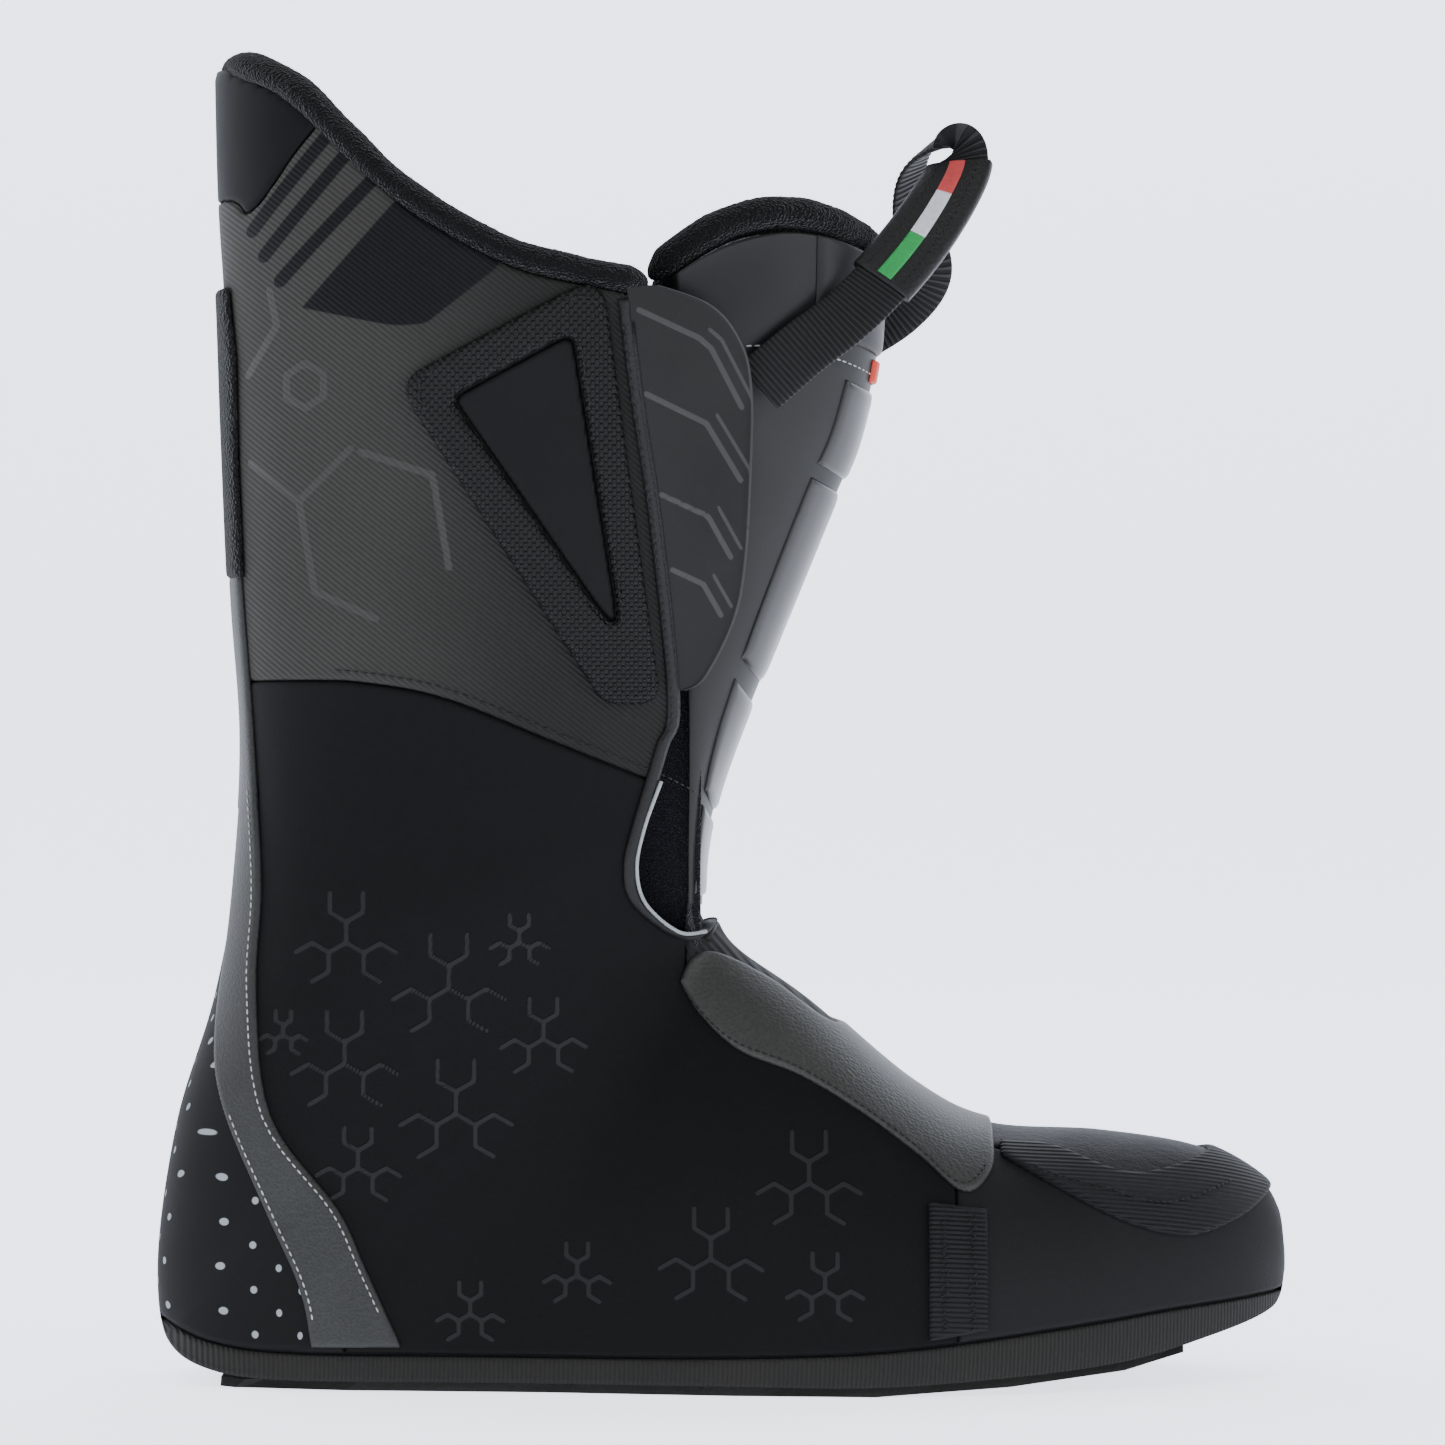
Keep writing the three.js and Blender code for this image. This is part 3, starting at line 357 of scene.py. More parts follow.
FABRIC = Finish("black_fabric", (0.0046, 0.0046, 0.0049), Surface.KNIT, 0.78, marked=(0.013, 0.013, 0.0132),
                mark_rise=0.4, gleam=0.12)
NEOPRENE = Finish("toe_neoprene", (0.0052, 0.0052, 0.0060), Surface.RUBBER, 0.66, grain=0.6, gleam=0.25)
HEEL = Finish("dotted_heel_fabric", (0.0035, 0.0035, 0.0038), Surface.DOTS, 0.8, marked=(0.26, 0.28, 0.29),
              gleam=0.2)
SPOILER = Finish("spoiler_fabric", (0.0034, 0.0034, 0.0040), Surface.SMOOTH, 0.66, gleam=0.10)
WINDOW = Finish("brace_middle_fabric", (0.0048, 0.0048, 0.0048), Surface.SMOOTH, 0.55, gleam=0.12)
CUFF = Finish(
    "ribbed_cuff_fabric", (0.0170, 0.0165, 0.0150), Surface.TWILL, 0.72, marked=(0.036, 0.035, 0.032),
    mark_rise=0.18,
    along=(0.62, 0.0, 0.78), pitch=1.15, rear=(0.044, 0.042, 0.038), printed=(0.0030, 0.0030, 0.0036), gleam=0.14,
)
PLUSH = Finish("black_plush", (0.0040, 0.0040, 0.0042), Surface.PILE, 1.0, sheen=0.10, gleam=0.15)
PATCH = Finish("hook_pile", (0.0075, 0.0078, 0.0085), Surface.PILE, 1.0, grain=0.8, sheen=0.12, gleam=0.15)
LEATHER = Finish("grey_leather", (0.030, 0.031, 0.030), Surface.LEATHER, 0.55)
GRIP = Finish("grip_leather", (0.011, 0.011, 0.011), Surface.LEATHER, 0.5)
FACING = Finish("instep_leather", (0.037, 0.038, 0.034), Surface.LEATHER, 0.52, grain=0.8)
FRAME = Finish("bubbled_frame", (0.0062, 0.0060, 0.0056), Surface.BUBBLES, 0.5, gleam=0.2)
TOE = Finish("toe_fabric", (0.0075, 0.0075, 0.0078), Surface.KNIT, 0.75, gleam=0.2)
RUBBER = Finish("pad_rubber", (0.022, 0.021, 0.019), Surface.RUBBER, 0.85)
RAND = Finish("ribbed_rand", (0.0175, 0.0165, 0.0145), Surface.RIBS, 0.82, along=(1.0, 0.35, 0.0), pitch=1.1)
TAPE = Finish("ribbed_tape", (0.0052, 0.0052, 0.0058), Surface.RIBS, 0.7, along=(0.0, 0.3, 1.0), pitch=1.25,
              gleam=0.25)
BINDING = Finish("edge_tape", (0.0060, 0.0060, 0.0060), Surface.LEATHER, 0.6)
GUSSET = Finish("ribbed_elastic", (0.0085, 0.0085, 0.0088), Surface.RIBS, 0.8, along=(0.75, 0.0, 0.66), pitch=1.6)
FOAM = Finish("cell_foam", (0.0080, 0.0082, 0.0095), Surface.FOAM, 0.9)
LINING = Finish("brushed_lining", (0.0062, 0.0070, 0.0110), Surface.PILE, 1.0, grain=1.2, sheen=0.16, gleam=0.15)
SHELL = Finish("tongue_sheet", (0.0165, 0.0162, 0.0158), Surface.SMOOTH, 0.46,
               marked=(0.0045, 0.0045, 0.0047), gleam=0.26)
GLOSS = Finish("raised_pad", (0.024, 0.0238, 0.0235), Surface.SMOOTH, 0.30, gleam=0.45)
# The flap's marked colour serves its pressed chevrons and, along its front edge, a painted highlight.
FLAP = Finish("flap_sheet", (0.0115, 0.0114, 0.0108), Surface.SMOOTH, 0.50,
              marked=(0.034, 0.034, 0.033), mark_rise=0.06, gleam=0.18)
BOARD = Finish("fibre_board", (0.2, 0.17, 0.13), Surface.BOARD, 0.9)
# The webbing's marked colour is a painted highlight on the crests of its ribs.
WEBBING = Finish("woven_webbing", (0.0042, 0.0042, 0.0046), Surface.KNIT, 0.75, marked=(0.012, 0.012, 0.0125),
                 mark_rise=0.3)
WHITE = Finish("white_piping", (0.36, 0.38, 0.40), Surface.KNIT, 0.6)
THREAD = Finish("white_thread", (0.50, 0.50, 0.48), Surface.KNIT, 0.6)
DARK_THREAD = Finish("black_thread", (0.0025, 0.0025, 0.0025), Surface.KNIT, 0.5)
GREEN = Finish("green_stripe", (0.020, 0.36, 0.085), Surface.KNIT, 0.55)
PALE = Finish("white_stripe", (0.74, 0.77, 0.80), Surface.KNIT, 0.55)
RED = Finish("red_stripe", (0.66, 0.075, 0.075), Surface.KNIT, 0.55)
TAG = Finish("red_tag", (0.70, 0.06, 0.03), Surface.KNIT, 0.6)


# ---------------------------------------------------------------- curves and outlines
def curve(points: Array, share: Array, carried_on: bool = False) -> Array:
    """A smooth line through points: each stretch is the cubic whose end slopes are half the step across the end.

    Args:
        points: the points in order.
        share: places from 0 to 1, even in points.
        carried_on: True to carry the line on past its ends, False to repeat the end points.
    Returns:
        A point for each place.
    """
    points = np.asarray(points, float)
    last = len(points) - 1
    spot = np.clip(share, 0, 1) * last
    i = np.minimum(spot.astype(int), last - 1)
    w = (spot - i)[..., None]
    ends = (2 * points[0] - points[1], 2 * points[-1] - points[-2]) if carried_on else (points[0], points[-1])
    line = np.vstack([ends[0], points, ends[1]])
    a, b, c, d = line[i], line[i + 1], line[i + 2], line[i + 3]
    return 0.5 * (2 * b + (c - a) * w + (2 * a - 5 * b + 4 * c - d) * w**2 + (3 * b - a - 3 * c + d) * w**3)


def smooth(points: Sequence[Sequence[float]], per_point: int = 6) -> Array:
    """A smooth line of per_point steps between points."""
    return curve(np.asarray(points, float), np.linspace(0, 1, per_point * (len(points) - 1) + 1))


def smoothstep(x: Array, low: float, high: float) -> Array:
    """3t^2 - 2t^3, where t goes from 0 at low to 1 at high."""
    t = np.clip((x - low) / (high - low), 0, 1)
    return t * t * (3 - 2 * t)


def unit(vectors: Array) -> Array:
    """Vectors brought to length 1."""
    return vectors / np.maximum(np.linalg.norm(vectors, axis=-1, keepdims=True), 1e-9)


def distance(points: Array, line: Array, closed: bool = False) -> Array:
    """Distance from points to a side-view line: the shortest over its stretches.

    Args:
        points: places as (n, 2).
        line: the line's points.
        closed: True to join its end to its start.
    Returns:
        n distances.
    """
    a = line if closed else line[:-1]
    b = np.roll(line, -1, 0) if closed else line[1:]
    best = np.full(len(points), 1e9)
    for start, end in zip(a, b):
        step = end - start
        t = np.clip(((points - start) @ step) / max(step @ step, 1e-9), 0, 1)
        best = np.minimum(best, np.linalg.norm(points - start - t[:, None] * step, axis=1))
    return best


def within(points: Array, outline: Array) -> Array:
    """Signed distance to a closed outline, above 0 inside: the side is how often a level ray crosses it."""
    crossed = np.zeros(len(points), bool)
    for (x0, z0), (x1, z1) in zip(outline, np.roll(outline, -1, 0)):
        spans = (z0 > points[:, 1]) != (z1 > points[:, 1])
        at = (x1 - x0) * (points[:, 1] - z0) / (z1 - z0 if z1 != z0 else 1e-9) + x0
        crossed ^= spans & (points[:, 0] < at)
    return np.where(crossed, 1, -1) * distance(points, outline, True)


def rounded(corners: Sequence[Sequence[float]], radius: float) -> Array:
    """An outline with each corner replaced by a curve that starts and ends a radius's tangent away."""
    points = np.asarray(corners, float)
    made = []
    for i, corner in enumerate(points):
        before, after = points[i - 1] - corner, points[(i + 1) % len(points)] - corner
        lengths = np.linalg.norm(before), np.linalg.norm(after)
        angle = math.acos(float(before @ after) / (lengths[0] * lengths[1])) / 2
        back = min(radius / math.tan(angle), lengths[0] / 2.2, lengths[1] / 2.2)
        start, end = corner + before / lengths[0] * back, corner + after / lengths[1] * back
        t = np.linspace(0, 1, 9)[:, None]
        made.append((1 - t) ** 2 * start + 2 * t * (1 - t) * corner + t**2 * end)
    return np.vstack(made)


# ---------------------------------------------------------------- meshes
def mesh_piece(
    name: str, points: Array, faces: Array | list, finish: Finish, marks: dict[str, Array] | None = None
) -> bpy.types.Object:
    """A Blender object from points in millimetres.

    Args:
        name: the piece's name.
        points: its corners, (n, 3).
        faces: its faces as rows of corner numbers.
        finish: its material.
        marks: attributes, one number per corner.
    Returns:
        The object, smooth shaded, with its place in its mesh.
    """
    mesh = bpy.data.meshes.new(name)
    rows = faces if isinstance(faces, list) else faces.tolist()
    mesh.from_pydata((np.asarray(points, float) * MM).tolist(), [], rows)
    mesh.shade_smooth()
    for key, values in (marks or {}).items():
        mesh.attributes.new(key, "FLOAT", "POINT").data.foreach_set("value", np.asarray(values, np.float32))
    mesh.materials.append(finish.make())
    mesh.update()
    made = bpy.data.objects.new(name, mesh)
    bpy.context.scene.collection.objects.link(made)
    return made


def grid_faces(rows: int, columns: int, wrap: bool = False) -> Array:
    """Faces of a grid of corners numbered row by row; wrap joins the last column to the first."""
    i, j = np.meshgrid(np.arange(rows - 1), np.arange(columns if wrap else columns - 1), indexing="ij")
    k = (j + 1) % columns
    quads = np.stack([i * columns + j, i * columns + k, (i + 1) * columns + k, (i + 1) * columns + j], -1)
    return quads.reshape(-1, 4)


def grid_shell(
    name: str, outer: Array, inner: Array, finish: Finish, marks: dict[str, Array] | None = None
) -> bpy.types.Object:
    """A closed sheet between two grids of corners.

    Args:
        name: the piece's name.
        outer: corners of the outer face, (rows, columns, 3).
        inner: corners of the inner face, numbered the same way.
        finish: its material.
        marks: attributes of the outer face, which the inner face carries as UNMARKED.
    Returns:
        The object.
    """
    rows, columns = outer.shape[:2]
    n = rows * columns
    faces = grid_faces(rows, columns)
    every = np.vstack([faces[:, ::-1], faces + n, edge_walls(rows, columns)])
    points = np.vstack([outer.reshape(-1, 3), inner.reshape(-1, 3)])
    both = {key: np.concatenate([np.ravel(value), np.full(n, UNMARKED)]) for key, value in (marks or {}).items()}
    return outward(mesh_piece(name, points, every, finish, both))


def tube(
    name: str, line: Array, across: Array, out: Array, section: Array, finish: Finish, **more: Any
) -> bpy.types.Object:
    """A section carried along a line: each corner is line + a*across + b*out, with a fan over each end.

    Args:
        name: the piece's name.
        line: the middle line, (n, 3).
        across: the section's first direction at each point.
        out: its second direction.
        section: (m, 2), or (n, m, 2) where it changes along the line.
        finish: its material.
        more: marks for mesh_piece, as (n, m).
    Returns:
        The object.
    """
    n = len(line)
    shape = np.broadcast_to(section, (n,) + np.shape(section)[-2:])
    m = shape.shape[1]
    rings = line[:, None] + shape[..., :1] * across[:, None] + shape[..., 1:] * out[:, None]
    points = np.vstack([rings.reshape(-1, 3), rings[0].mean(0), rings[-1].mean(0)])
    faces = grid_faces(n, m, True).tolist()
    j = np.arange(m)
    k = (j + 1) % m
    faces += np.stack([np.full(m, n * m), k, j], 1).tolist()
    faces += np.stack([np.full(m, n * m + 1), (n - 1) * m + j, (n - 1) * m + k], 1).tolist()
    marks = {key: np.append(np.asarray(value).reshape(-1), [0, 0]) for key, value in more.items()}
    made = mesh_piece(name, points, faces, finish, marks)
    return outward(made)


def outward(piece: bpy.types.Object) -> bpy.types.Object:
    """Turns a closed piece's faces out, judged by the sign of its volume, and returns it."""
    mesh = piece.data
    mesh.calc_loop_triangles()
    corners = np.zeros(len(mesh.loop_triangles) * 3, np.int32)
    mesh.loop_triangles.foreach_get("vertices", corners)
    co = np.zeros(len(mesh.vertices) * 3, np.float32)
    mesh.vertices.foreach_get("co", co)
    tri = co.reshape(-1, 3)[corners.reshape(-1, 3)].astype(float)
    tri -= tri.reshape(-1, 3).mean(0)
    if np.einsum("ij,ij->i", tri[:, 0], np.cross(tri[:, 1], tri[:, 2])).sum() < 0:
        mesh.flip_normals()
    return piece


def trim(data: Array, tri: Array, value: Array) -> tuple[Array, Array]:
    """Cuts triangles along a line: what has value below 0 goes, and a cut edge gets the point where value is 0.

    Args:
        data: numbers at each corner, mixed linearly along cut edges.
        tri: triangles.
        value: the number whose sign decides.
    Returns:
        The new corners' data and triangles.
    """
    value = np.where(np.abs(value) < 0.03, 0.0, value)
    inside = value >= 0
    count = inside[tri].sum(1)
    keep = [tri[count == 3]]
    edges: list[Array] = []
    base = len(data)
    for wanted in (1, 2):
        some = tri[count == wanted]
        odd = inside[some] if wanted == 1 else ~inside[some]
        turn = odd.argmax(1)
        a, b, c = (some[np.arange(len(some)), (turn + i) % 3] for i in range(3))
        first, second = np.stack([a, b], 1), np.stack([a, c], 1)
        ab = base + sum(map(len, edges)) + np.arange(len(some))
        ac = ab + len(some)
        edges += [first, second]
        if wanted == 1:
            keep.append(np.stack([a, ab, ac], 1))
        else:
            keep += [np.stack([ab, b, c], 1), np.stack([ab, c, ac], 1)]
    pairs = np.sort(np.vstack(edges), 1)
    unique, where = np.unique(pairs, axis=0, return_inverse=True)
    va, vb = value[unique[:, 0]], value[unique[:, 1]]
    t = np.clip(va / np.where(va == vb, 1, va - vb), 0, 1)[:, None]
    added = data[unique[:, 0]] * (1 - t) + data[unique[:, 1]] * t
    all_tri = np.vstack(keep)
    new = all_tri >= base
    all_tri[new] = base + where.reshape(-1)[all_tri[new] - base]
    data = np.vstack([data, added])
    used, packed = np.unique(all_tri, return_inverse=True)
    return data[used], packed.reshape(-1, 3)


def weld(points: Array, tri: Array) -> Array:
    """Corners in one place become one, and triangles left without area go; corners keep their numbers."""
    _, first, same = np.unique(np.round(points, 3), axis=0, return_index=True, return_inverse=True)
    tri = first[same.reshape(-1)][tri]
    good = (tri[:, 0] != tri[:, 1]) & (tri[:, 1] != tri[:, 2]) & (tri[:, 2] != tri[:, 0])
    return tri[good]


# ---------------------------------------------------------------- the foot form
@dataclass
class LinerForm:
    """The padded sock as ribs between a front line and a sole or back line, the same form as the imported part's."""

    length: float = 290
    forefoot: float = 102
    heel: float = 72
    ankle: float = 84
    cuff: float = 112
    toe_shift: float = 8
    heel_centre: float = -98
    ball_outer: float = 36
    ball_inner: float = 54
    shoulder: float = 2.3
    fullness: float = 2.15
    last_sole_rib: int = 9
    front: Array = field(init=False)
    back: Array = field(init=False)
    halves: Array = field(init=False)

    def __post_init__(self) -> None:
        """Sets out the ribs."""
        self.front = np.array([
            [144.4, 34], [143, 43], [137.5, 50.6], [122, 58.6], [97, 62.8], [68, 65], [48, 75], [22, 96.8],
            [4.3, 109.4], [-1.2, 117], [-3.2, 124], [-3.6, 128.5], [-3.6, 133], [-3, 138], [-1.2, 145], [3.4, 158],
            [12, 180.5], [23, 206], [36, 240], [43, 272], [45, 306], [46, 372],
        ])
        self.back = np.array([
            [144.4, 28], [142.5, 21], [138, 17.5], [124, 13.2], [101, 7.7], [72, 4.6], [38, 2.5], [2, 2.5],
            [-46, 2.5], [-97, 2.5], [-127, 4.2], [-141.5, 12], [-144.6, 31], [-139.6, 66], [-130, 98], [-124, 132],
            [-122.2, 164], [-124.6, 200], [-126.4, 242], [-127.6, 276], [-129.4, 308], [-130.5, 372],
        ])
        rear = [self.heel / 2 + n for n in (3, 3.5, 4)]
        leg = [self.ankle / 2 + n for n in (-1, 0, 0, 1.5)]
        calf = [self.cuff / 2 + n for n in (-9, -4, 0, 0, 0)]
        self.halves = np.array([self.heel / 2 + 3] * 10 + rear + leg + calf)[:, None]

    def middle(self, x: Array) -> Array:
        """How far the middle line lies to the inner side at x."""
        return self.toe_shift * smoothstep(x / self.length, 0.1, 0.5)

    def sole_half(self, x: Array, inner: Array) -> Array:
        """Half the sole's width: an oval heel, an oval ball, and a hollowed blend between them."""
        ball = np.where(inner, self.ball_inner, self.ball_outer)
        end = self.length / 2
        rear = np.clip((self.heel_centre - x) / (end + self.heel_centre), 0, 1)
        front = np.clip((x - ball) / (end - ball), 0, 1)
        t = np.clip((x - self.heel_centre) / (ball - self.heel_centre), 0, 1)
        waist = (self.heel + (self.forefoot - self.heel) * smoothstep(t, 0, 1)) / 2
        waist = waist - np.where(inner, 6, 1) * np.sin(np.pi * t)
        return np.where(
            x < self.heel_centre, self.heel / 2 * np.sqrt(1 - rear**2.2),
            np.where(x > ball, self.forefoot / 2 * np.sqrt(1 - front**2.3), waist),
        )

    def rib(self, u: Array, inner: Array) -> tuple[Array, Array, Array, Array]:
        """The rib at share u of the way from toe to cuff.

        Args:
            u: shares from 0 to 1.
            inner: True on the inner side.
        Returns:
            Its front end, back end, widest half width, and how far below the widest place its lower end is.
        """
        last = len(self.front) - 1
        front, back = curve(self.front, u, True), curve(self.back, u, True)
        sole = self.sole_half(back[..., 0], inner)
        leg = curve(self.halves, u)[..., 0]
        on_sole = 1 - smoothstep(u * last, self.last_sole_rib - 1, self.last_sole_rib + 1)
        widest = np.maximum(0.5, leg + (1.03 * sole - leg) * on_sole)
        end = np.minimum(sole, widest) * (1 - np.clip(u * last - self.last_sole_rib - 2, 0, 1))
        low = np.clip(1 - (end / widest) ** self.fullness, 0, 1) ** (1 / self.shoulder)
        return front, back, widest, low

    def point(self, u: Array, s: Array) -> Array:
        """The form's surface: c = cos(|s| * arccos(-low)) goes from 1 at the front line to -low at the lower end.

        The side view place is the rib's point (1 - c)/(1 + low) of the way along, and the distance from the middle
        line is widest * (1 - |c|^shoulder)^(1/fullness), outward for s below 0 and inward above.
        """
        front, back, widest, low = self.rib(u, s > 0)
        c = np.cos(np.abs(s) * np.arccos(-low))
        side = front + (back - front) * ((1 - c) / (1 + low))[..., None]
        reach = widest * np.clip(1 - np.abs(c) ** self.shoulder, 0, 1) ** (1 / self.fullness)
        y = self.middle(side[..., 0]) + np.sign(s) * reach
        return np.stack([side[..., 0], y, side[..., 1]], -1)

    def normal(self, u: Array, s: Array) -> Array:
        """The outward direction: the cross product of small steps along and round the form."""
        du, ds = 4e-4, 0.004
        along = self.point(np.clip(u + du, 0.002, 1), s) - self.point(np.clip(u - du, 0.0012, 1), s)
        round_ = self.point(u, np.clip(s + ds, -1, 1)) - self.point(u, np.clip(s - ds, -1, 1))
        return unit(np.cross(round_, along))

    def locate(self, side: Array, sign: int) -> tuple[Array, Array]:
        """Finds the form's surface under side-view points, by halving the range of ribs that pass each point.

        Args:
            side: (n, 2) places in the side view.
            sign: which side of the boot.
        Returns:
            u and s of each.
        """
        side = np.asarray(side, float)
        def turn(u: Array) -> Array:
            """Which side of rib u each point lies on."""
            f, b = curve(self.front, u, True), curve(self.back, u, True)
            return (b[:, 0] - f[:, 0]) * (side[:, 1] - f[:, 1]) - (b[:, 1] - f[:, 1]) * (side[:, 0] - f[:, 0])
        low, high = np.full(len(side), 0.02), np.ones(len(side))
        for _ in range(34):
            centre = (low + high) / 2
            upper = turn(low) * turn(centre) <= 0
            high, low = np.where(upper, centre, high), np.where(upper, low, centre)
        front, back, _, deep = self.rib(low, np.full(len(side), sign > 0))
        t = np.linalg.norm(side - front, axis=1) / np.linalg.norm(back - front, axis=1)
        c = np.clip(1 - t * (1 + deep), -1, 1)
        return low, sign * np.clip(np.arccos(c) / np.arccos(-deep), 0, 1)

    def lay(self, side: Array, sign: int, height: float | Array) -> tuple[Array, Array]:
        """Side-view points laid on the form, height above it, and the normals there."""
        u, s = self.locate(side, sign)
        normal = self.normal(u, s)
        return self.point(u, s) + normal * np.reshape(height, (-1, 1)), normal


FORM = LinerForm()


# ---------------------------------------------------------------- lines of the side view
FAR = 400.0
RAND_LINE = smooth([[-170, 17], [-145, 16], [-130, 11.5], [-105, 9.3], [-30, 9], [19, 10], [49, 12], [94, 17.5],
                    [118, 20.5], [170, 24.5]])
CUFF_LINE = smooth([[-170, 177], [-107, 178], [-87, 177], [-68, 173], [-43, 163], [-18, 153], [30, 134],
                    [170, 110]])
SPOILER_LINE = smooth([[-170, 300], [-128, 300], [-119, 296], [-106, 311], [-94, 324]])
RIM_LINE = smooth([[-170, 341], [-132, 341], [-122, 338], [-107, 330], [-92, 315], [-78, 302], [-63, 293],
                   [-48, 286], [-24, 281]])
FRONT_EDGE = smooth([[-24, 281], [-20, 248], [-15.5, 218], [-11, 173], [-14, 161], [-20, 141], [-22, 131],
                     [-20, 122], [-10, 113.5], [-4.5, 114], [0, 118], [20, 134]])
TOE_TOP = smooth([[58, 62], [69, 60.5], [84, 58.5], [99, 53], [110, 52.5], [126, 57], [140, 68]])
TAPE_LOW = smooth([[70, 58], [94, 45], [108, 39.5], [118, 38], [128, 40.5], [137, 45], [148, 54]])
TAPE_HIGH = smooth([[70, 61.5], [84, 60], [99, 54.5], [110, 54], [126, 58.5], [134, 66]])
STRAP_FRONT = smooth([[-121, 198], [-117.5, 151], [-116, 125], [-117, 100], [-113, 69], [-96, 46], [-89, 31],
                      [-80, 11]])
STRAP_REAR = smooth([[-103, 11], [-106, 26], [-115, 46], [-126, 72], [-128, 91], [-125, 117], [-123, 145]])
HEEL_SEAM = smooth([[-94, 0], [-97, 28], [-109, 50], [-120, 75], [-122, 95], [-120, 120], [-118, 150]])
BRACE = rounded([[-29.5, 279], [-81, 252], [-30, 172], [-15.5, 172]], 7)
BRACE_HOLE = rounded([[-67, 248], [-37, 264], [-25, 187]], 3)
FACING_LINE = smooth([[-11, 102], [-8, 108], [-2, 109], [12, 102], [30, 90.5], [36, 104], [66, 80], [68.5, 62],
                      [67, 54], [60, 50], [49, 59], [34, 70], [19, 79], [4, 85], [-6, 94], [-11, 102]])[:-1]
GUSSET_LINE = np.array([[-9, 104], [-2, 105], [11, 98.5], [28, 87.5], [33, 84], [44, 98], [14, 124], [-9, 130]])
PATCH_LINE = np.array([[-160, 279], [-124.3, 278], [-122.2, 259], [-121.8, 233], [-120.6, 204], [-160, 204]])
VAMP_LINE = np.array([[51, 48], [51, 14], [66, 16.5], [66, 46]])
TOE_SEAM = 58.5


def region(*parts: Array | Sequence[Sequence[float]]) -> Array:
    """Joins stretches of outline into one."""
    return np.vstack([np.asarray(part, float) for part in parts])


def under(line: Array) -> Array:
    """The region below a line from heel to toe."""
    return region(line, [[line[-1][0], -FAR], [line[0][0], -FAR]])


def ahead(x: float) -> Array:
    """The region in front of x."""
    return np.array([[x, -FAR], [FAR, -FAR], [FAR, 2 * FAR], [x, 2 * FAR]])


COLLAR_DROP = 7.3
OPENING = region(RIM_LINE - [0, COLLAR_DROP], FRONT_EDGE[8:], [[FAR, 260], [FAR, FAR], [-FAR, FAR]])
HEEL_REGION = region(HEEL_SEAM, [[-170, 150], [-170, 0]])
TOE_TOP_REGION = region(TOE_TOP, [[150, 100], [58, 100]])
SPOILER_REGION = region(SPOILER_LINE, [[-80, 360], [-170, 360]])
STRAP_REGION = region([[-121.5, 205]], STRAP_FRONT, STRAP_REAR, [[-160, 145], [-160, 205]])
COUNTER = np.array([[-160.0, 16], [-160, 108], [-118, 110], [-100, 74], [-70, 40], [-60, 18]])
STIFFENER = np.array([[-160.0, 205], [-160, 300], [-112, 300], [-96, 282], [-96, 205]])
TAPE_REGION = region(TAPE_LOW, [[150, 66]], TAPE_HIGH[::-1])


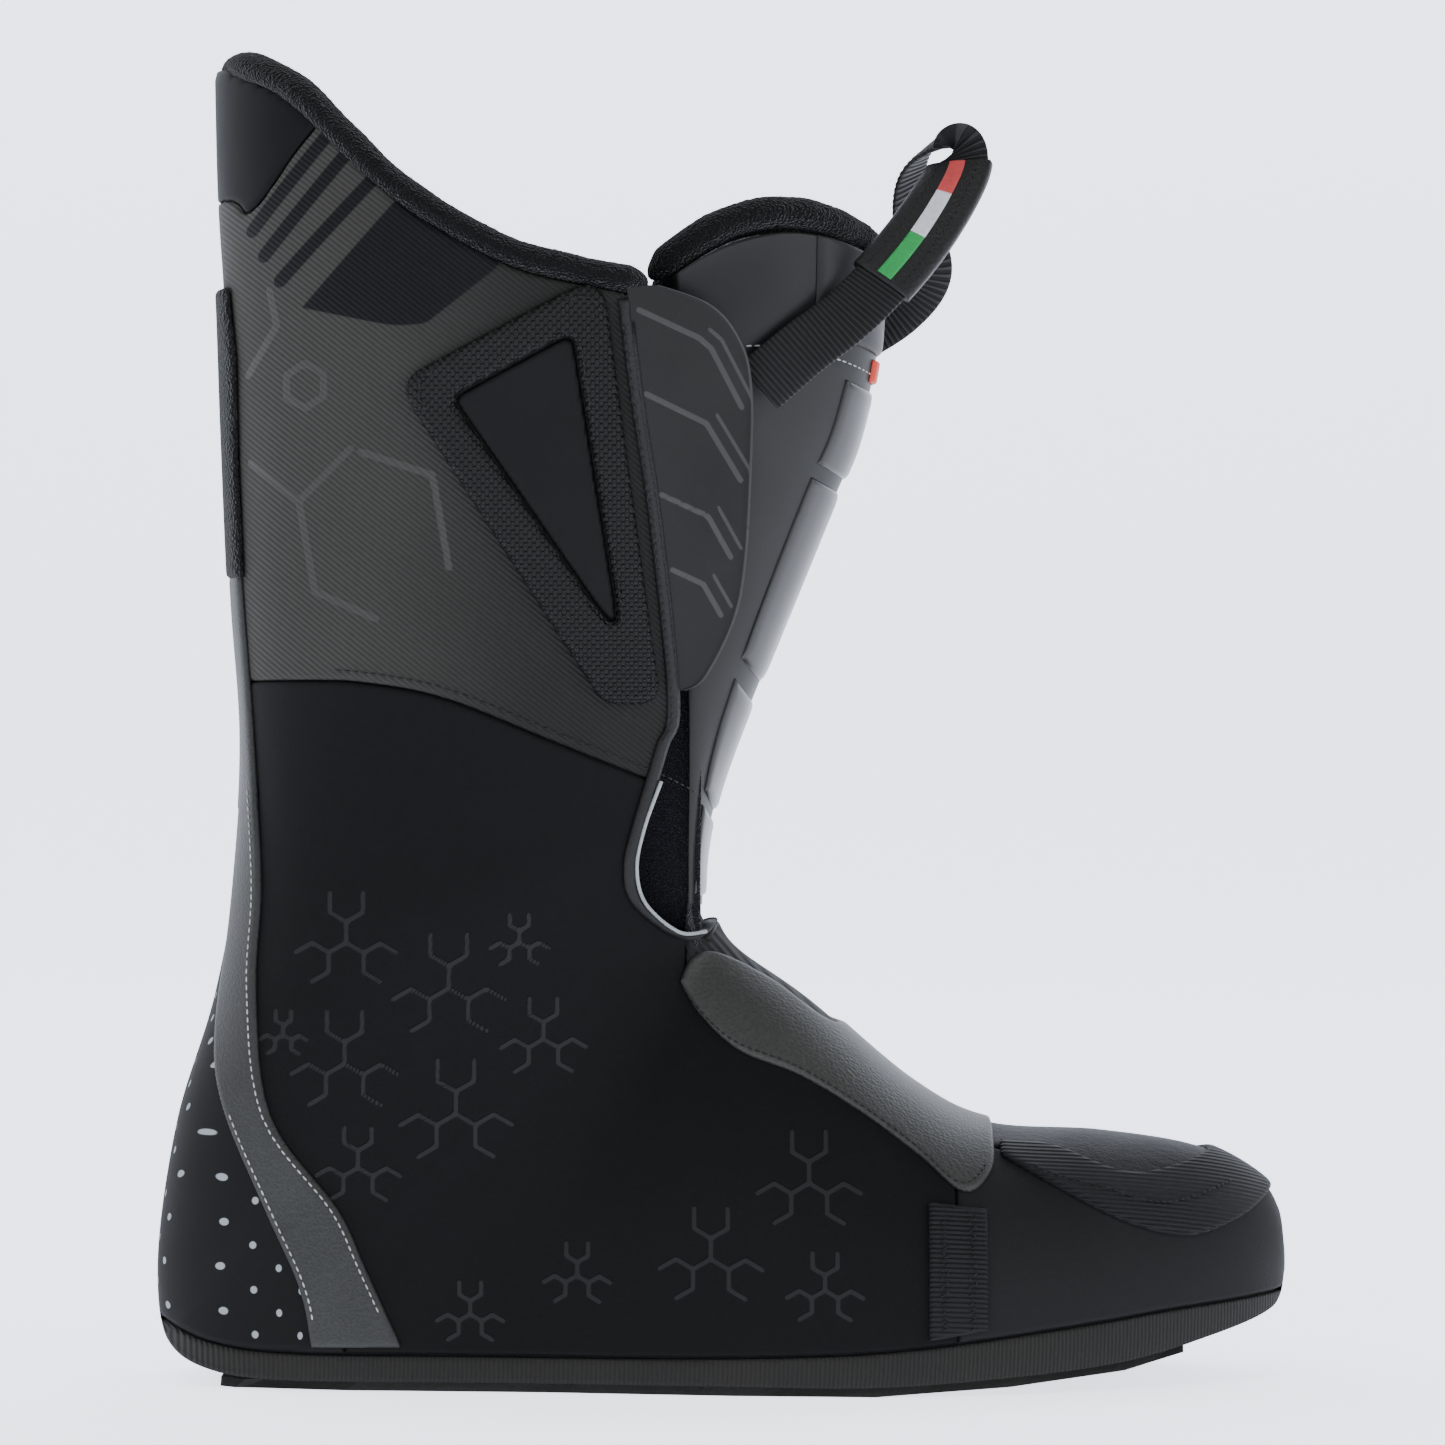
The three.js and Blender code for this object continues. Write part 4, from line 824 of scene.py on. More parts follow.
@dataclass
class Panel:
    """A sheet of the boot's wall: where it lies in the side view, how deep, and how its edge turns down."""

    name: str
    finish: Finish
    inside: Sequence[Array] = ()
    outside: Sequence[Array] = ()
    top: float = 0.0
    thick: float = 1.2
    edge: float = 0.9
    seam: float = 0.2
    step: float = 1.1
    sides: tuple[int, ...] = (OUTER, INNER)
    mark: Callable[[Array], Array] | None = None
    printed: Callable[[Array], Array] | None = None
    inward: bool = False

    def reach(self, side: Array) -> Array:
        """Distance inside the panel's edges, below 0 outside: the least over its regions."""
        best = np.full(len(side), 1e3)
        for outline in self.inside:
            best = np.minimum(best, within(side, outline) - self.seam)
        for outline in self.outside:
            best = np.minimum(best, -within(side, outline) - self.seam)
        return best

    def span(self) -> tuple[Array, Array]:
        """Rows u and columns s that cover the panel, about a step apart."""
        u, s = np.meshgrid(np.linspace(0.004, 0.985, 240), np.linspace(-1, 1, 121), indexing="ij")
        side = FORM.point(u.ravel(), s.ravel())[:, [0, 2]]
        keep = (self.reach(side) > -3).reshape(u.shape)
        only = self.sides[0] if len(self.sides) == 1 else 0
        if only:
            keep &= s * only >= -0.001
        us, ss = u[keep], s[keep]
        u0, u1 = max(0.003, us.min() - 0.004), min(0.985, us.max() + 0.004)
        s0, s1 = max(-1, ss.min() - 0.017), min(1, ss.max() + 0.017)
        if only:
            s0, s1 = (s0, min(s1, -0.002)) if only == OUTER else (max(s0, 0.002), s1)
        rows = int(700 * (u1 - u0) / self.step) + 2
        columns = int(135 * (s1 - s0) / self.step) + 2
        across = np.linspace(s0, s1, columns)
        if s0 < 0 < s1:
            across = np.unique(np.append(across, [0.0, -0.002, 0.002]))
        return np.linspace(u0, u1, rows), across

    def sheet(self) -> tuple[Array, Array]:
        """Cuts the form's grid to the panel.

        Returns:
            Rows of u, s and distance from the edge, and triangles facing out.
        """
        rows, columns = self.span()
        u, s = (grid.ravel() for grid in np.meshgrid(rows, columns, indexing="ij"))
        quads = grid_faces(len(rows), len(columns))
        tri = np.vstack([quads[:, [0, 1, 2]], quads[:, [0, 2, 3]]])
        data = np.stack([u, s], 1)
        for outline, sign in [(o, 1) for o in self.inside] + [(o, -1) for o in self.outside]:
            value = sign * within(FORM.point(data[:, 0], data[:, 1])[:, [0, 2]], outline) - self.seam
            if (value < 0).any():
                data, tri = trim(data, tri, value)
        side = FORM.point(data[:, 0], data[:, 1])[:, [0, 2]]
        return np.column_stack([data, np.maximum(self.reach(side), 0)]), tri

    def build(self) -> bpy.types.Object:
        """Makes the closed sheet: the outer face, an inner face a thickness below it, and a wall round each edge.

        The outer face stands at top, less edge * (1 - sqrt(1 - (1 - d/edge)^2)) within a distance edge of the rim.
        """
        data, tri = self.sheet()
        u, s, d = data.T
        base, normal = FORM.point(u, s), FORM.normal(u, s)
        closing = np.abs(s) > 0.9999
        normal[closing & (FORM.rib(u, s > 0)[3] > 0.999)] *= [1, 0, 1]
        side = base[:, [0, 2]]
        turn = 1 - np.clip(d / self.edge, 0, 1)
        height = self.top - self.edge * 0.8 * (1 - np.sqrt(1 - turn**2))
        if self.inward:
            outer, inner = base + normal * (self.top - self.thick), base + normal * height[:, None]
        else:
            outer, inner = base + normal * height[:, None], base + normal * (self.top - self.thick)
        tri = weld(outer, tri)
        edges = np.vstack([tri[:, [0, 1]], tri[:, [1, 2]], tri[:, [2, 0]]])
        _, where, count = np.unique(np.sort(edges, 1), axis=0, return_inverse=True, return_counts=True)
        rim = edges[count[where.reshape(-1)] == 1]
        n = len(data)
        walls = np.stack([rim[:, 1], rim[:, 0], rim[:, 0] + n, rim[:, 1] + n], 1)
        faces = tri.tolist() + (tri[:, ::-1] + n).tolist() + walls.tolist()
        drawn = {"mark": self.mark, "print": self.printed}
        blank = np.full(n, UNMARKED)
        marks = {key: np.concatenate([shape(side), blank]) for key, shape in drawn.items() if shape}
        made = mesh_piece(self.name, np.vstack([outer, inner]), faces, self.finish, marks)
        work = bmesh.new()
        work.from_mesh(made.data)
        bmesh.ops.delete(work, geom=[v for v in work.verts if not v.link_faces], context="VERTS")
        work.to_mesh(made.data)
        work.free()
        return outward(made)


def settle(piece: bpy.types.Object, body: str, slot: str, *nodes: str, fill: float | None = None) -> None:
    """Lets a piece ride on a body, hides the nodes it stands for, and logs it.

    Args:
        piece: the finished object.
        body: the body it moves with.
        slot: a material slot's name; not used.
        nodes: the nodes it stands for.
        fill: how full it is, where it is padded; not used.
    """
    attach(piece, body)
    if nodes:
        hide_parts(*nodes)
    log.info("%s: %d faces, on %s", piece.name, len(piece.data.polygons), body)


def stroke(lines: Sequence[Array], half: float) -> Callable[[Array], Array]:
    """A mark along lines: the distance from them less a half width, which the finish shows where it is below 0."""
    def value(side: Array) -> Array:
        """The mark at side-view places."""
        best = np.full(len(side), 1e3)
        for line in lines:
            best = np.minimum(best, distance(side, line))
        return best - half
    return value


def molecule(x: float, z: float, radius: float) -> list[Array]:
    """Three arms from a hub, each ending in a hexagon with its far corner left open."""
    lines = []
    for way in (np.pi / 2, np.pi * 7 / 6, np.pi * 11 / 6):
        out = np.array([math.cos(way), math.sin(way)])
        hub, centre = np.array([x, z]), np.array([x, z]) + out * radius * 1.75
        angle = way + np.pi + np.arange(-2, 3) * np.pi / 3
        lines.append(np.array([hub, hub + out * radius * 0.9]))
        lines.append(centre + radius * 0.85 * np.stack([np.cos(angle), np.sin(angle)], 1))
    return lines


def beads(
    name: str, line: Array, normal: Array, pitch: float, size: Sequence[float], finish: Finish
) -> bpy.types.Object:
    """Stitches: small ovals of size (half long, half wide, half high) set every pitch along a line.

    Args:
        name: the piece's name.
        line: points of the seam, (n, 3).
        normal: the surface's direction at each.
        pitch: from one stitch to the next.
        size: half sizes of a stitch.
        finish: the thread.
    Returns:
        One object with every stitch.
    """
    steps = np.linalg.norm(np.diff(line, axis=0), axis=1)
    run = np.concatenate([[0], np.cumsum(steps)])
    places = np.arange(pitch / 2, run[-1], pitch)
    at = np.stack([np.interp(places, run, line[:, i]) for i in range(3)], 1)
    up = unit(np.stack([np.interp(places, run, normal[:, i]) for i in range(3)], 1))
    ahead_ = np.stack([np.interp(places + 0.3, run, line[:, i]) for i in range(3)], 1)
    behind = np.stack([np.interp(places - 0.3, run, line[:, i]) for i in range(3)], 1)
    along = unit(ahead_ - behind)
    side = unit(np.cross(up, along))
    turn = np.linspace(0, 2 * np.pi, 7)[:-1]
    rings = np.array([[-1, 0.0], [-0.75, 0.66], [0, 1], [0.75, 0.66], [1, 0.0]])
    local = np.array([[a, r * math.cos(t), r * math.sin(t)] for a, r in rings for t in turn]) * size
    across = local[:, 1:2] * side[:, None] + local[:, 2:] * up[:, None]
    points = at[:, None] + local[:, :1] * along[:, None] + across
    faces = grid_faces(5, 6, True)
    every = (faces[None] + (np.arange(len(at)) * 30)[:, None, None]).reshape(-1, 4)
    return outward(mesh_piece(name, points.reshape(-1, 3), every, finish))


# ---------------------------------------------------------------- boot
def stripes(side: Array) -> Array:
    """Slanting dark bands and a larger dark shape printed on the cuff under its collar."""
    bands = [[[-118.2, 291], [-98, 314]], [[-115, 284.5], [-92, 310.5]], [[-110.7, 278], [-86, 303]]]
    low = smooth([[-73.3, 266.4], [-81, 266], [-90, 267.6], [-105, 271]], 4)
    shape = region([[-105, 271], [-80, 298], [-50, 290], [-56, 279.7]], low)
    return np.minimum(stroke([np.array(band, float) for band in bands], 1.7)(side), -within(side, shape))


def cuff_lines(side: Array) -> Array:
    """Raised hexagon lines on the cuff."""
    lines = [
        [[-119, 233], [-106, 223], [-92.5, 236]], [[-106, 223], [-102, 200.5], [-86.5, 193.5]],
        [[-90, 235], [-72, 229], [-68, 206]], [[-109, 249], [-109, 254.6], [-104.2, 257.4], [-99.4, 254.6],
        [-99.4, 249], [-104.2, 246.2], [-109, 249]],
        [[-113.5, 276], [-111.5, 267], [-119.5, 255]],
    ]
    return stroke([np.array(line, float) for line in lines], 1.0)(side)


def molecules(side: Array) -> Array:
    """Open hexagons joined in threes, pressed into the quarter's fabric."""
    spots = [(-94, 112.6, 5.7), (-94.4, 82.3, 6), (-68.3, 101.2, 6.2), (-66.6, 69.7, 6.2), (-44.8, 88.3, 4.7),
             (-50.7, 112.6, 3.2), (-110, 89.3, 2.7), (-91.1, 56.3, 4.7), (-63.1, 19.6, 3.7), (-36.3, 29.5, 3.7),
             (-2.9, 34.2, 5.7), (21.5, 53.1, 5.7), (25.4, 26.8, 4.2)]
    lines = [line for spot in spots for line in molecule(*spot)]
    return np.maximum(stroke(lines, 0.68)(side), within(side, FACING_LINE) + 2)


@dataclass
class Shoe:
    """The sewn sock: its outer panels, what is sewn on them, the padding and the lining."""

    rand: float = 1.2
    wall: float = 8.8
    collar: float = 7.5

    def panels(self) -> list[tuple[Panel, str, tuple[str, ...], float | None]]:
        """Every sheet with its slot, the nodes it stands for, and its fill where it is padded."""
        sole = under(RAND_LINE + [0, 0.3])
        toe, cuff_low = ahead(TOE_SEAM), under(CUFF_LINE)
        around = [toe, HEEL_REGION, GUSSET_LINE, sole, OPENING]
        quarter = {"inside": [cuff_low], "outside": around, "mark": molecules, "step": 0.62}
        return [
            (Panel("toe_top", NEOPRENE, [toe, TOE_TOP_REGION], [OPENING]), "fabric", ("toe_top_panel",), None),
            (Panel("toe_side", TOE, [toe], [TOE_TOP_REGION, sole]), "fabric", ("toe_side_panel",), None),
            (Panel("heel_cup", HEEL, [cuff_low, HEEL_REGION], [sole]), "fabric", ("heel_panel",), None),
            (Panel("gusset", GUSSET, [cuff_low, GUSSET_LINE], [OPENING], step=0.9), "webbing",
             ("instep_gusset",), None),
            (Panel("quarter_outer", FABRIC, sides=(OUTER,), **quarter), "fabric", ("quarter_right",), None),
            (Panel("quarter_inner", FABRIC, sides=(INNER,), **quarter), "fabric", ("quarter_left",), None),
            (Panel("cuff_cover", CUFF, [], [cuff_low, toe, OPENING, SPOILER_REGION], mark=cuff_lines, step=0.8,
                   printed=stripes),
             "cuff", ("cuff_panel",), None),
            (Panel("spoiler", SPOILER, [SPOILER_REGION], [cuff_low, OPENING], step=0.9), "fabric",
             ("spoiler_panel",), None),
            (Panel("sole_tray", RAND, [under(RAND_LINE)], edge=0.5), "rand", ("sole_rand",), None),
        ]

    def overlays(self) -> list[tuple[Panel, str, tuple[str, ...], float | None]]:
        """What is sewn on top."""
        sole = under(RAND_LINE + [0, 0.3])
        def on(name: str, finish: Finish, inside: list[Array], **more: Any) -> Panel:
            """A sheet that stands out of the wall."""
            more = {"top": 1.5, "thick": 1.5, "step": 0.7, "edge": 1.1, "outside": [sole, OPENING], **more}
            return Panel(name, finish, inside, **more)
        edge = FRONT_EDGE[2:58]
        strip = region(edge, edge[::-1] - [3.2, 0])
        made = [
            (on("heel_wishbone", LEATHER, [STRAP_REGION]), "leather", ("heel_strap",), None),
            (on("instep_patch", FACING, [FACING_LINE]), "leather", ("instep_facing",), None),
            (on("toe_tape", TAPE, [TAPE_REGION]), "webbing", ("toe_seam_tape",), None),
            (on("spine_pile", PATCH, [PATCH_LINE], top=2.2, edge=1.6), "plush", ("spine_patch",), 0.3),
        ]
        for word, side, sign in (("outer", "right", OUTER), ("inner", "left", INNER)):
            one = {"sides": (sign,)}
            made += [
                (on(f"vamp_tape_{word}", TAPE, [VAMP_LINE], top=1.7, **one), "webbing",
                 (f"vamp_seam_tape_{side}",), None),
                (on(f"brace_{word}", FRAME, [BRACE], top=2.4, thick=2.2, edge=1.7, step=0.55,
                    outside=[BRACE_HOLE], **one), "rubber", (f"brace_frame_{side}",), None),
                (on(f"brace_middle_{word}", WINDOW, [BRACE_HOLE], top=1.3, outside=[], **one), "fabric",
                 (f"brace_window_{side}",), None),
                (on(f"edge_tape_{word}", BINDING, [strip], top=1.5, outside=[], step=0.6, **one), "webbing",
                 (f"edge_binding_{side}",), None),
            ]
        return made

    def padding(self) -> list[tuple[Panel, str, tuple[str, ...], float | None]]:
        """The foam between the skins and the brushed lining inside it."""
        foam = ("foam_toe", "foam_waist_right", "foam_waist_left", "foam_heel_right", "foam_heel_left", "foam_cuff")
        body = Panel("foam_body", FOAM, [], [OPENING], top=-1.4, thick=4.0, step=2.4)
        lining = Panel("sock_lining", LINING, [], [OPENING], top=-8.2, thick=-2.6, step=1.6, inward=True)
        made = [(body, "foam", foam, 0.9), (lining, "lining", ("lining_toe", "lining_ankle", "lining_cuff"), 0.3)]
        hidden = {"top": -2.0, "thick": 0.9, "step": 2.0, "outside": [OPENING, under(RAND_LINE + [0, 2])]}
        made.append((Panel("heel_stiffener", BOARD, [COUNTER], **hidden), "board", ("heel_counter",), None))
        made.append((Panel("spine_support", BOARD, [STIFFENER], **hidden), "board", ("spine_stiffener",), None))
        turn = np.linspace(0, 2 * np.pi, 33)[:-1]
        oval = np.stack([-58 + 22 * np.cos(turn), 96 + 29 * np.sin(turn)], 1)
        for word, side, sign in (("outer", "right", OUTER), ("inner", "left", INNER)):
            pad = Panel(f"ankle_cushion_{word}", FOAM, [oval], [], top=-5.2, thick=2.6, edge=2.4, sides=(sign,))
            made.append((pad, "foam", (f"ankle_pad_{side}",), 0.8))
        return made

    def sole(self) -> None:
        """The tray's underside: half widths of the sole at each x, filled from side to side."""
        u = np.linspace(0.012, 0.545, 240)
        across = np.linspace(-1, 1, 41)
        left, right = FORM.point(u, np.full_like(u, 1.0)), FORM.point(u, np.full_like(u, -1.0))
        share = ((across + 1) / 2)[None, :, None]
        top = right[:, None] * (1 - share) + left[:, None] * share
        lower = top - [0, 0, 0.02]
        upper = top + [0, 0, self.rand]
        n = top.shape[0] * top.shape[1]
        faces = grid_faces(len(u), len(across))
        points = np.vstack([lower.reshape(-1, 3), upper.reshape(-1, 3)])
        piece = mesh_piece("tray_floor", points, np.vstack([faces, faces[:, ::-1] + n]), RAND)
        settle(outward(piece), "boot", "rand")

    def collar_roll(self) -> None:
        """The plush roll on the rim: an oval carried along its line, puckered by fine waves, with stray hairs."""
        line = RIM_LINE[RIM_LINE[:, 0] > -119]
        line = np.vstack([line, [[-21.5, 280.4], [-18.5, 280]]]) - [0, self.collar / 2]
        halves = []
        for sign in (OUTER, INNER):
            u, s = FORM.locate(line, sign)
            p = FORM.point(u, s) - [0, sign * self.wall / 2, 0]
            p[:, 0], p[:, 2] = line[:, 0], line[:, 1]
            halves.append(p)
        back = np.array([[-124.5, 0, 338.3 - self.collar / 2]])
        path = np.vstack([halves[0][::-1], back, halves[1]])
        run = np.concatenate([[0], np.cumsum(np.linalg.norm(np.diff(path, axis=0), axis=1))])
        even = np.linspace(0, run[-1], 18)
        knots = np.stack([np.interp(even, run, path[:, i]) for i in range(3)], 1)
        line3 = curve(knots, np.linspace(0, 1, 420))
        along = unit(np.gradient(line3, axis=0))
        across = unit(np.cross(along, [0, 0, 1.0]))
        out = np.cross(across, along)
        turn = np.linspace(0, 2 * np.pi, 45)[:-1]
        seed = np.random.default_rng(7)
        rough = 1 + 0.02 * np.sin(np.arange(420) * 0.23)[:, None] + seed.normal(0, 0.016, (420, 44))
        ends = np.minimum(1, np.sqrt(np.minimum(np.arange(420), np.arange(420)[::-1]) / 9 + 0.02))[:, None]
        oval = np.stack([np.cos(turn) * (self.wall / 2 + 0.7), np.sin(turn) * self.collar / 2], -1)
        section = oval[None] * (rough * ends)[..., None]
        roll = tube("collar_plush", line3, across, out, section, PLUSH)
        settle(roll, "boot", "plush", "collar_roll", fill=0.8)
        self.hairs(line3, across, out, seed)

    def hairs(self, line: Array, across: Array, out: Array, seed: np.random.Generator) -> None:
        """Short fibres standing off the roll: thin three-sided spikes at random places round it."""
        count = 1500
        i = seed.integers(6, len(line) - 6, count)
        turn = seed.uniform(0, 2 * np.pi, count)
        way = across[i] * np.cos(turn)[:, None] + out[i] * np.sin(turn)[:, None]
        foot = line[i] + across[i] * (np.cos(turn) * 4.7)[:, None] + out[i] * (np.sin(turn) * 3.5)[:, None]
        lean = unit(way + seed.normal(0, 0.5, (count, 3)))
        tip = foot + lean * seed.uniform(0.5, 1.7, count)[:, None]
        side = unit(np.cross(lean, seed.normal(0, 1, (count, 3)))) * 0.07
        other = np.cross(lean, side)
        points = np.stack([foot + side, foot - side / 2 + other, foot - side / 2 - other, tip], 1)
        faces = np.array([[0, 1, 3], [1, 2, 3], [2, 0, 3], [2, 1, 0]])
        every = (faces[None] + (np.arange(count) * 4)[:, None, None]).reshape(-1, 3)
        settle(outward(mesh_piece("collar_fibres", points.reshape(-1, 3), every, PLUSH)), "boot", "plush")

    def trims(self) -> None:
        """The rolled rim of the cuff's front edge, white piping and stitches."""
        for word, side, sign in (("outer", "right", OUTER), ("inner", "left", INNER)):
            edge = FRONT_EDGE[3:62] - [0.4, 0]
            base, normal = FORM.lay(edge, sign, -self.wall / 2)
            along = unit(np.gradient(base, axis=0))
            out = unit(np.cross(along, normal))
            turn = np.linspace(0, 2 * np.pi, 25)[:-1]
            section = np.stack([np.cos(turn) * (self.wall / 2 + 0.9), np.sin(turn) * 1.7], -1)
            rolled = tube(f"edge_roll_{word}", base, normal, out, section, BINDING)
            settle(rolled, "boot", "webbing")
            run = smooth([[-16, 153], [-20.3, 141], [-22.2, 131], [-20, 122], [-12, 114.6], [-5, 114]], 8)
            base, normal = FORM.lay(run, sign, 1.2)
            along = unit(np.gradient(base, axis=0))
            out = unit(np.cross(along, normal))
            section = np.stack([np.cos(turn[::3]), np.sin(turn[::3])], -1) * 0.5
            cord = tube(f"piping_{word}", base, normal, out, section, WHITE)
            settle(cord, "boot", "white", f"ankle_piping_{side}")
            for name, line, height, pitch, finish in self.seams():
                base, normal = FORM.lay(line, sign, height)
                sewn = beads(f"{name}_{word}", base, normal, pitch, (pitch * 0.36, 0.24, 0.2), finish)
                settle(sewn, "boot", "white" if finish is THREAD else "webbing")

    def seams(self) -> list[tuple[str, Array, float, float, Finish]]:
        """Each seam's name, line, height, stitch length and thread."""
        zig = np.arange(27)
        rows = [np.stack([54 + 1.6 * (zig % 2) + 7.0 * row, 16.5 + zig * 1.08], 1) for row in (0, 1)]
        low = TAPE_LOW[4:-8]
        high = TAPE_HIGH[np.linspace(0, len(TAPE_HIGH) - 8, len(low)).astype(int)]
        toe = low * 0.5 + high * 0.5
        inner = rounded([[-68.7, 248.2], [-35.8, 266], [-23.6, 184]], 4)
        return [
            ("strap_front_seam", STRAP_FRONT[6:-3] - [1.7, 0.3], 1.6, 2.1, THREAD),
            ("strap_rear_seam", STRAP_REAR[3:18] + [1.7, 0.6], 1.6, 2.1, THREAD),
            ("vamp_zigzag_rear", rows[0], 1.8, 1.9, DARK_THREAD),
            ("vamp_zigzag_front", rows[1], 1.8, 1.9, DARK_THREAD),
            ("toe_zigzag", toe, 1.6, 1.9, DARK_THREAD),
            ("facing_seam", FACING_LINE[48:88] + [-1.2, 1.8], 1.6, 2.0, DARK_THREAD),
            ("cuff_seam", CUFF_LINE[8:33] + [0, 2.6], 0.15, 2.4, DARK_THREAD),
            ("brace_seam", inner, 2.4, 2.0, DARK_THREAD),
            ("brace_outer_seam", rounded([[-31, 275.5], [-77, 251.5], [-29, 175], [-17.6, 175]], 6), 2.4, 2.0,
             DARK_THREAD),
            ("edge_seam", FRONT_EDGE[3:24] - [2.4, 0], 1.6, 2.2, DARK_THREAD),
        ]

    def slab(
        self, name: str, node: str, finish: Finish, inset: float, rise: tuple[float, float]
    ) -> bpy.types.Object:
        """A slab on the sole: its rim follows the sole's half widths less an inset and tapers round at both ends.

        Args:
            name: the piece's name.
            node: the node whose box sets its ends and its underside.
            finish: its material.
            inset: how far its sides lie inside the sole's edge.
            rise: its thickness in the middle, and how much its top is cupped towards the edges.
        Returns:
            The slab, which follows the toe's upward spring.
        """
        low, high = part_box(node)
        x = np.linspace(low.x * 1000 + 0.5, high.x * 1000 - 0.5, 150)
        across = np.sin(np.linspace(-np.pi / 2, np.pi / 2, 41))
        taper = np.clip(np.minimum(x - x[0], x[-1] - x) / 9, 0, 1)
        reach = [
            np.maximum((FORM.sole_half(x, np.full(len(x), inner)) - inset) * np.sqrt(taper * (2 - taper)), 0.4)
            for inner in (False, True)
        ]
        shares = across[None, :]
        wide = np.where(shares < 0, shares * reach[0][:, None], shares * reach[1][:, None])
        y = FORM.middle(x)[:, None] + wide
        order = FORM.back[:10, 0].argsort()
        spring = np.interp(x, FORM.back[:10, 0][order], FORM.back[:10, 1][order]) - 2.5
        floor = low.z * 1000 + spring[:, None] + 0 * shares
        cup = rise[0] + rise[1] * np.abs(shares) ** 4
        top = np.stack([x[:, None] + 0 * y, y, floor + cup], -1)
        bottom = np.stack([x[:, None] + 0 * y, y, floor], -1)
        return grid_shell(name, top, bottom, finish)

    def footing(self) -> None:
        """The insole on its board."""
        insole = self.slab("insole", "footbed", LINING, 8.5, (3.9, 1.2))
        settle(insole, "boot", "lining", "footbed", fill=0.9)
        board = self.slab("board", "lasting_board", BOARD, 4.0, (2.4, 0.0))
        settle(board, "boot", "board", "lasting_board")

    def build(self) -> None:
        """Makes the whole sewn sock."""
        for panel, slot, nodes, fill in self.panels() + self.overlays() + self.padding():
            settle(panel.build(), "boot", slot, *nodes, fill=fill)
        self.sole()
        self.collar_roll()
        self.trims()
        self.footing()


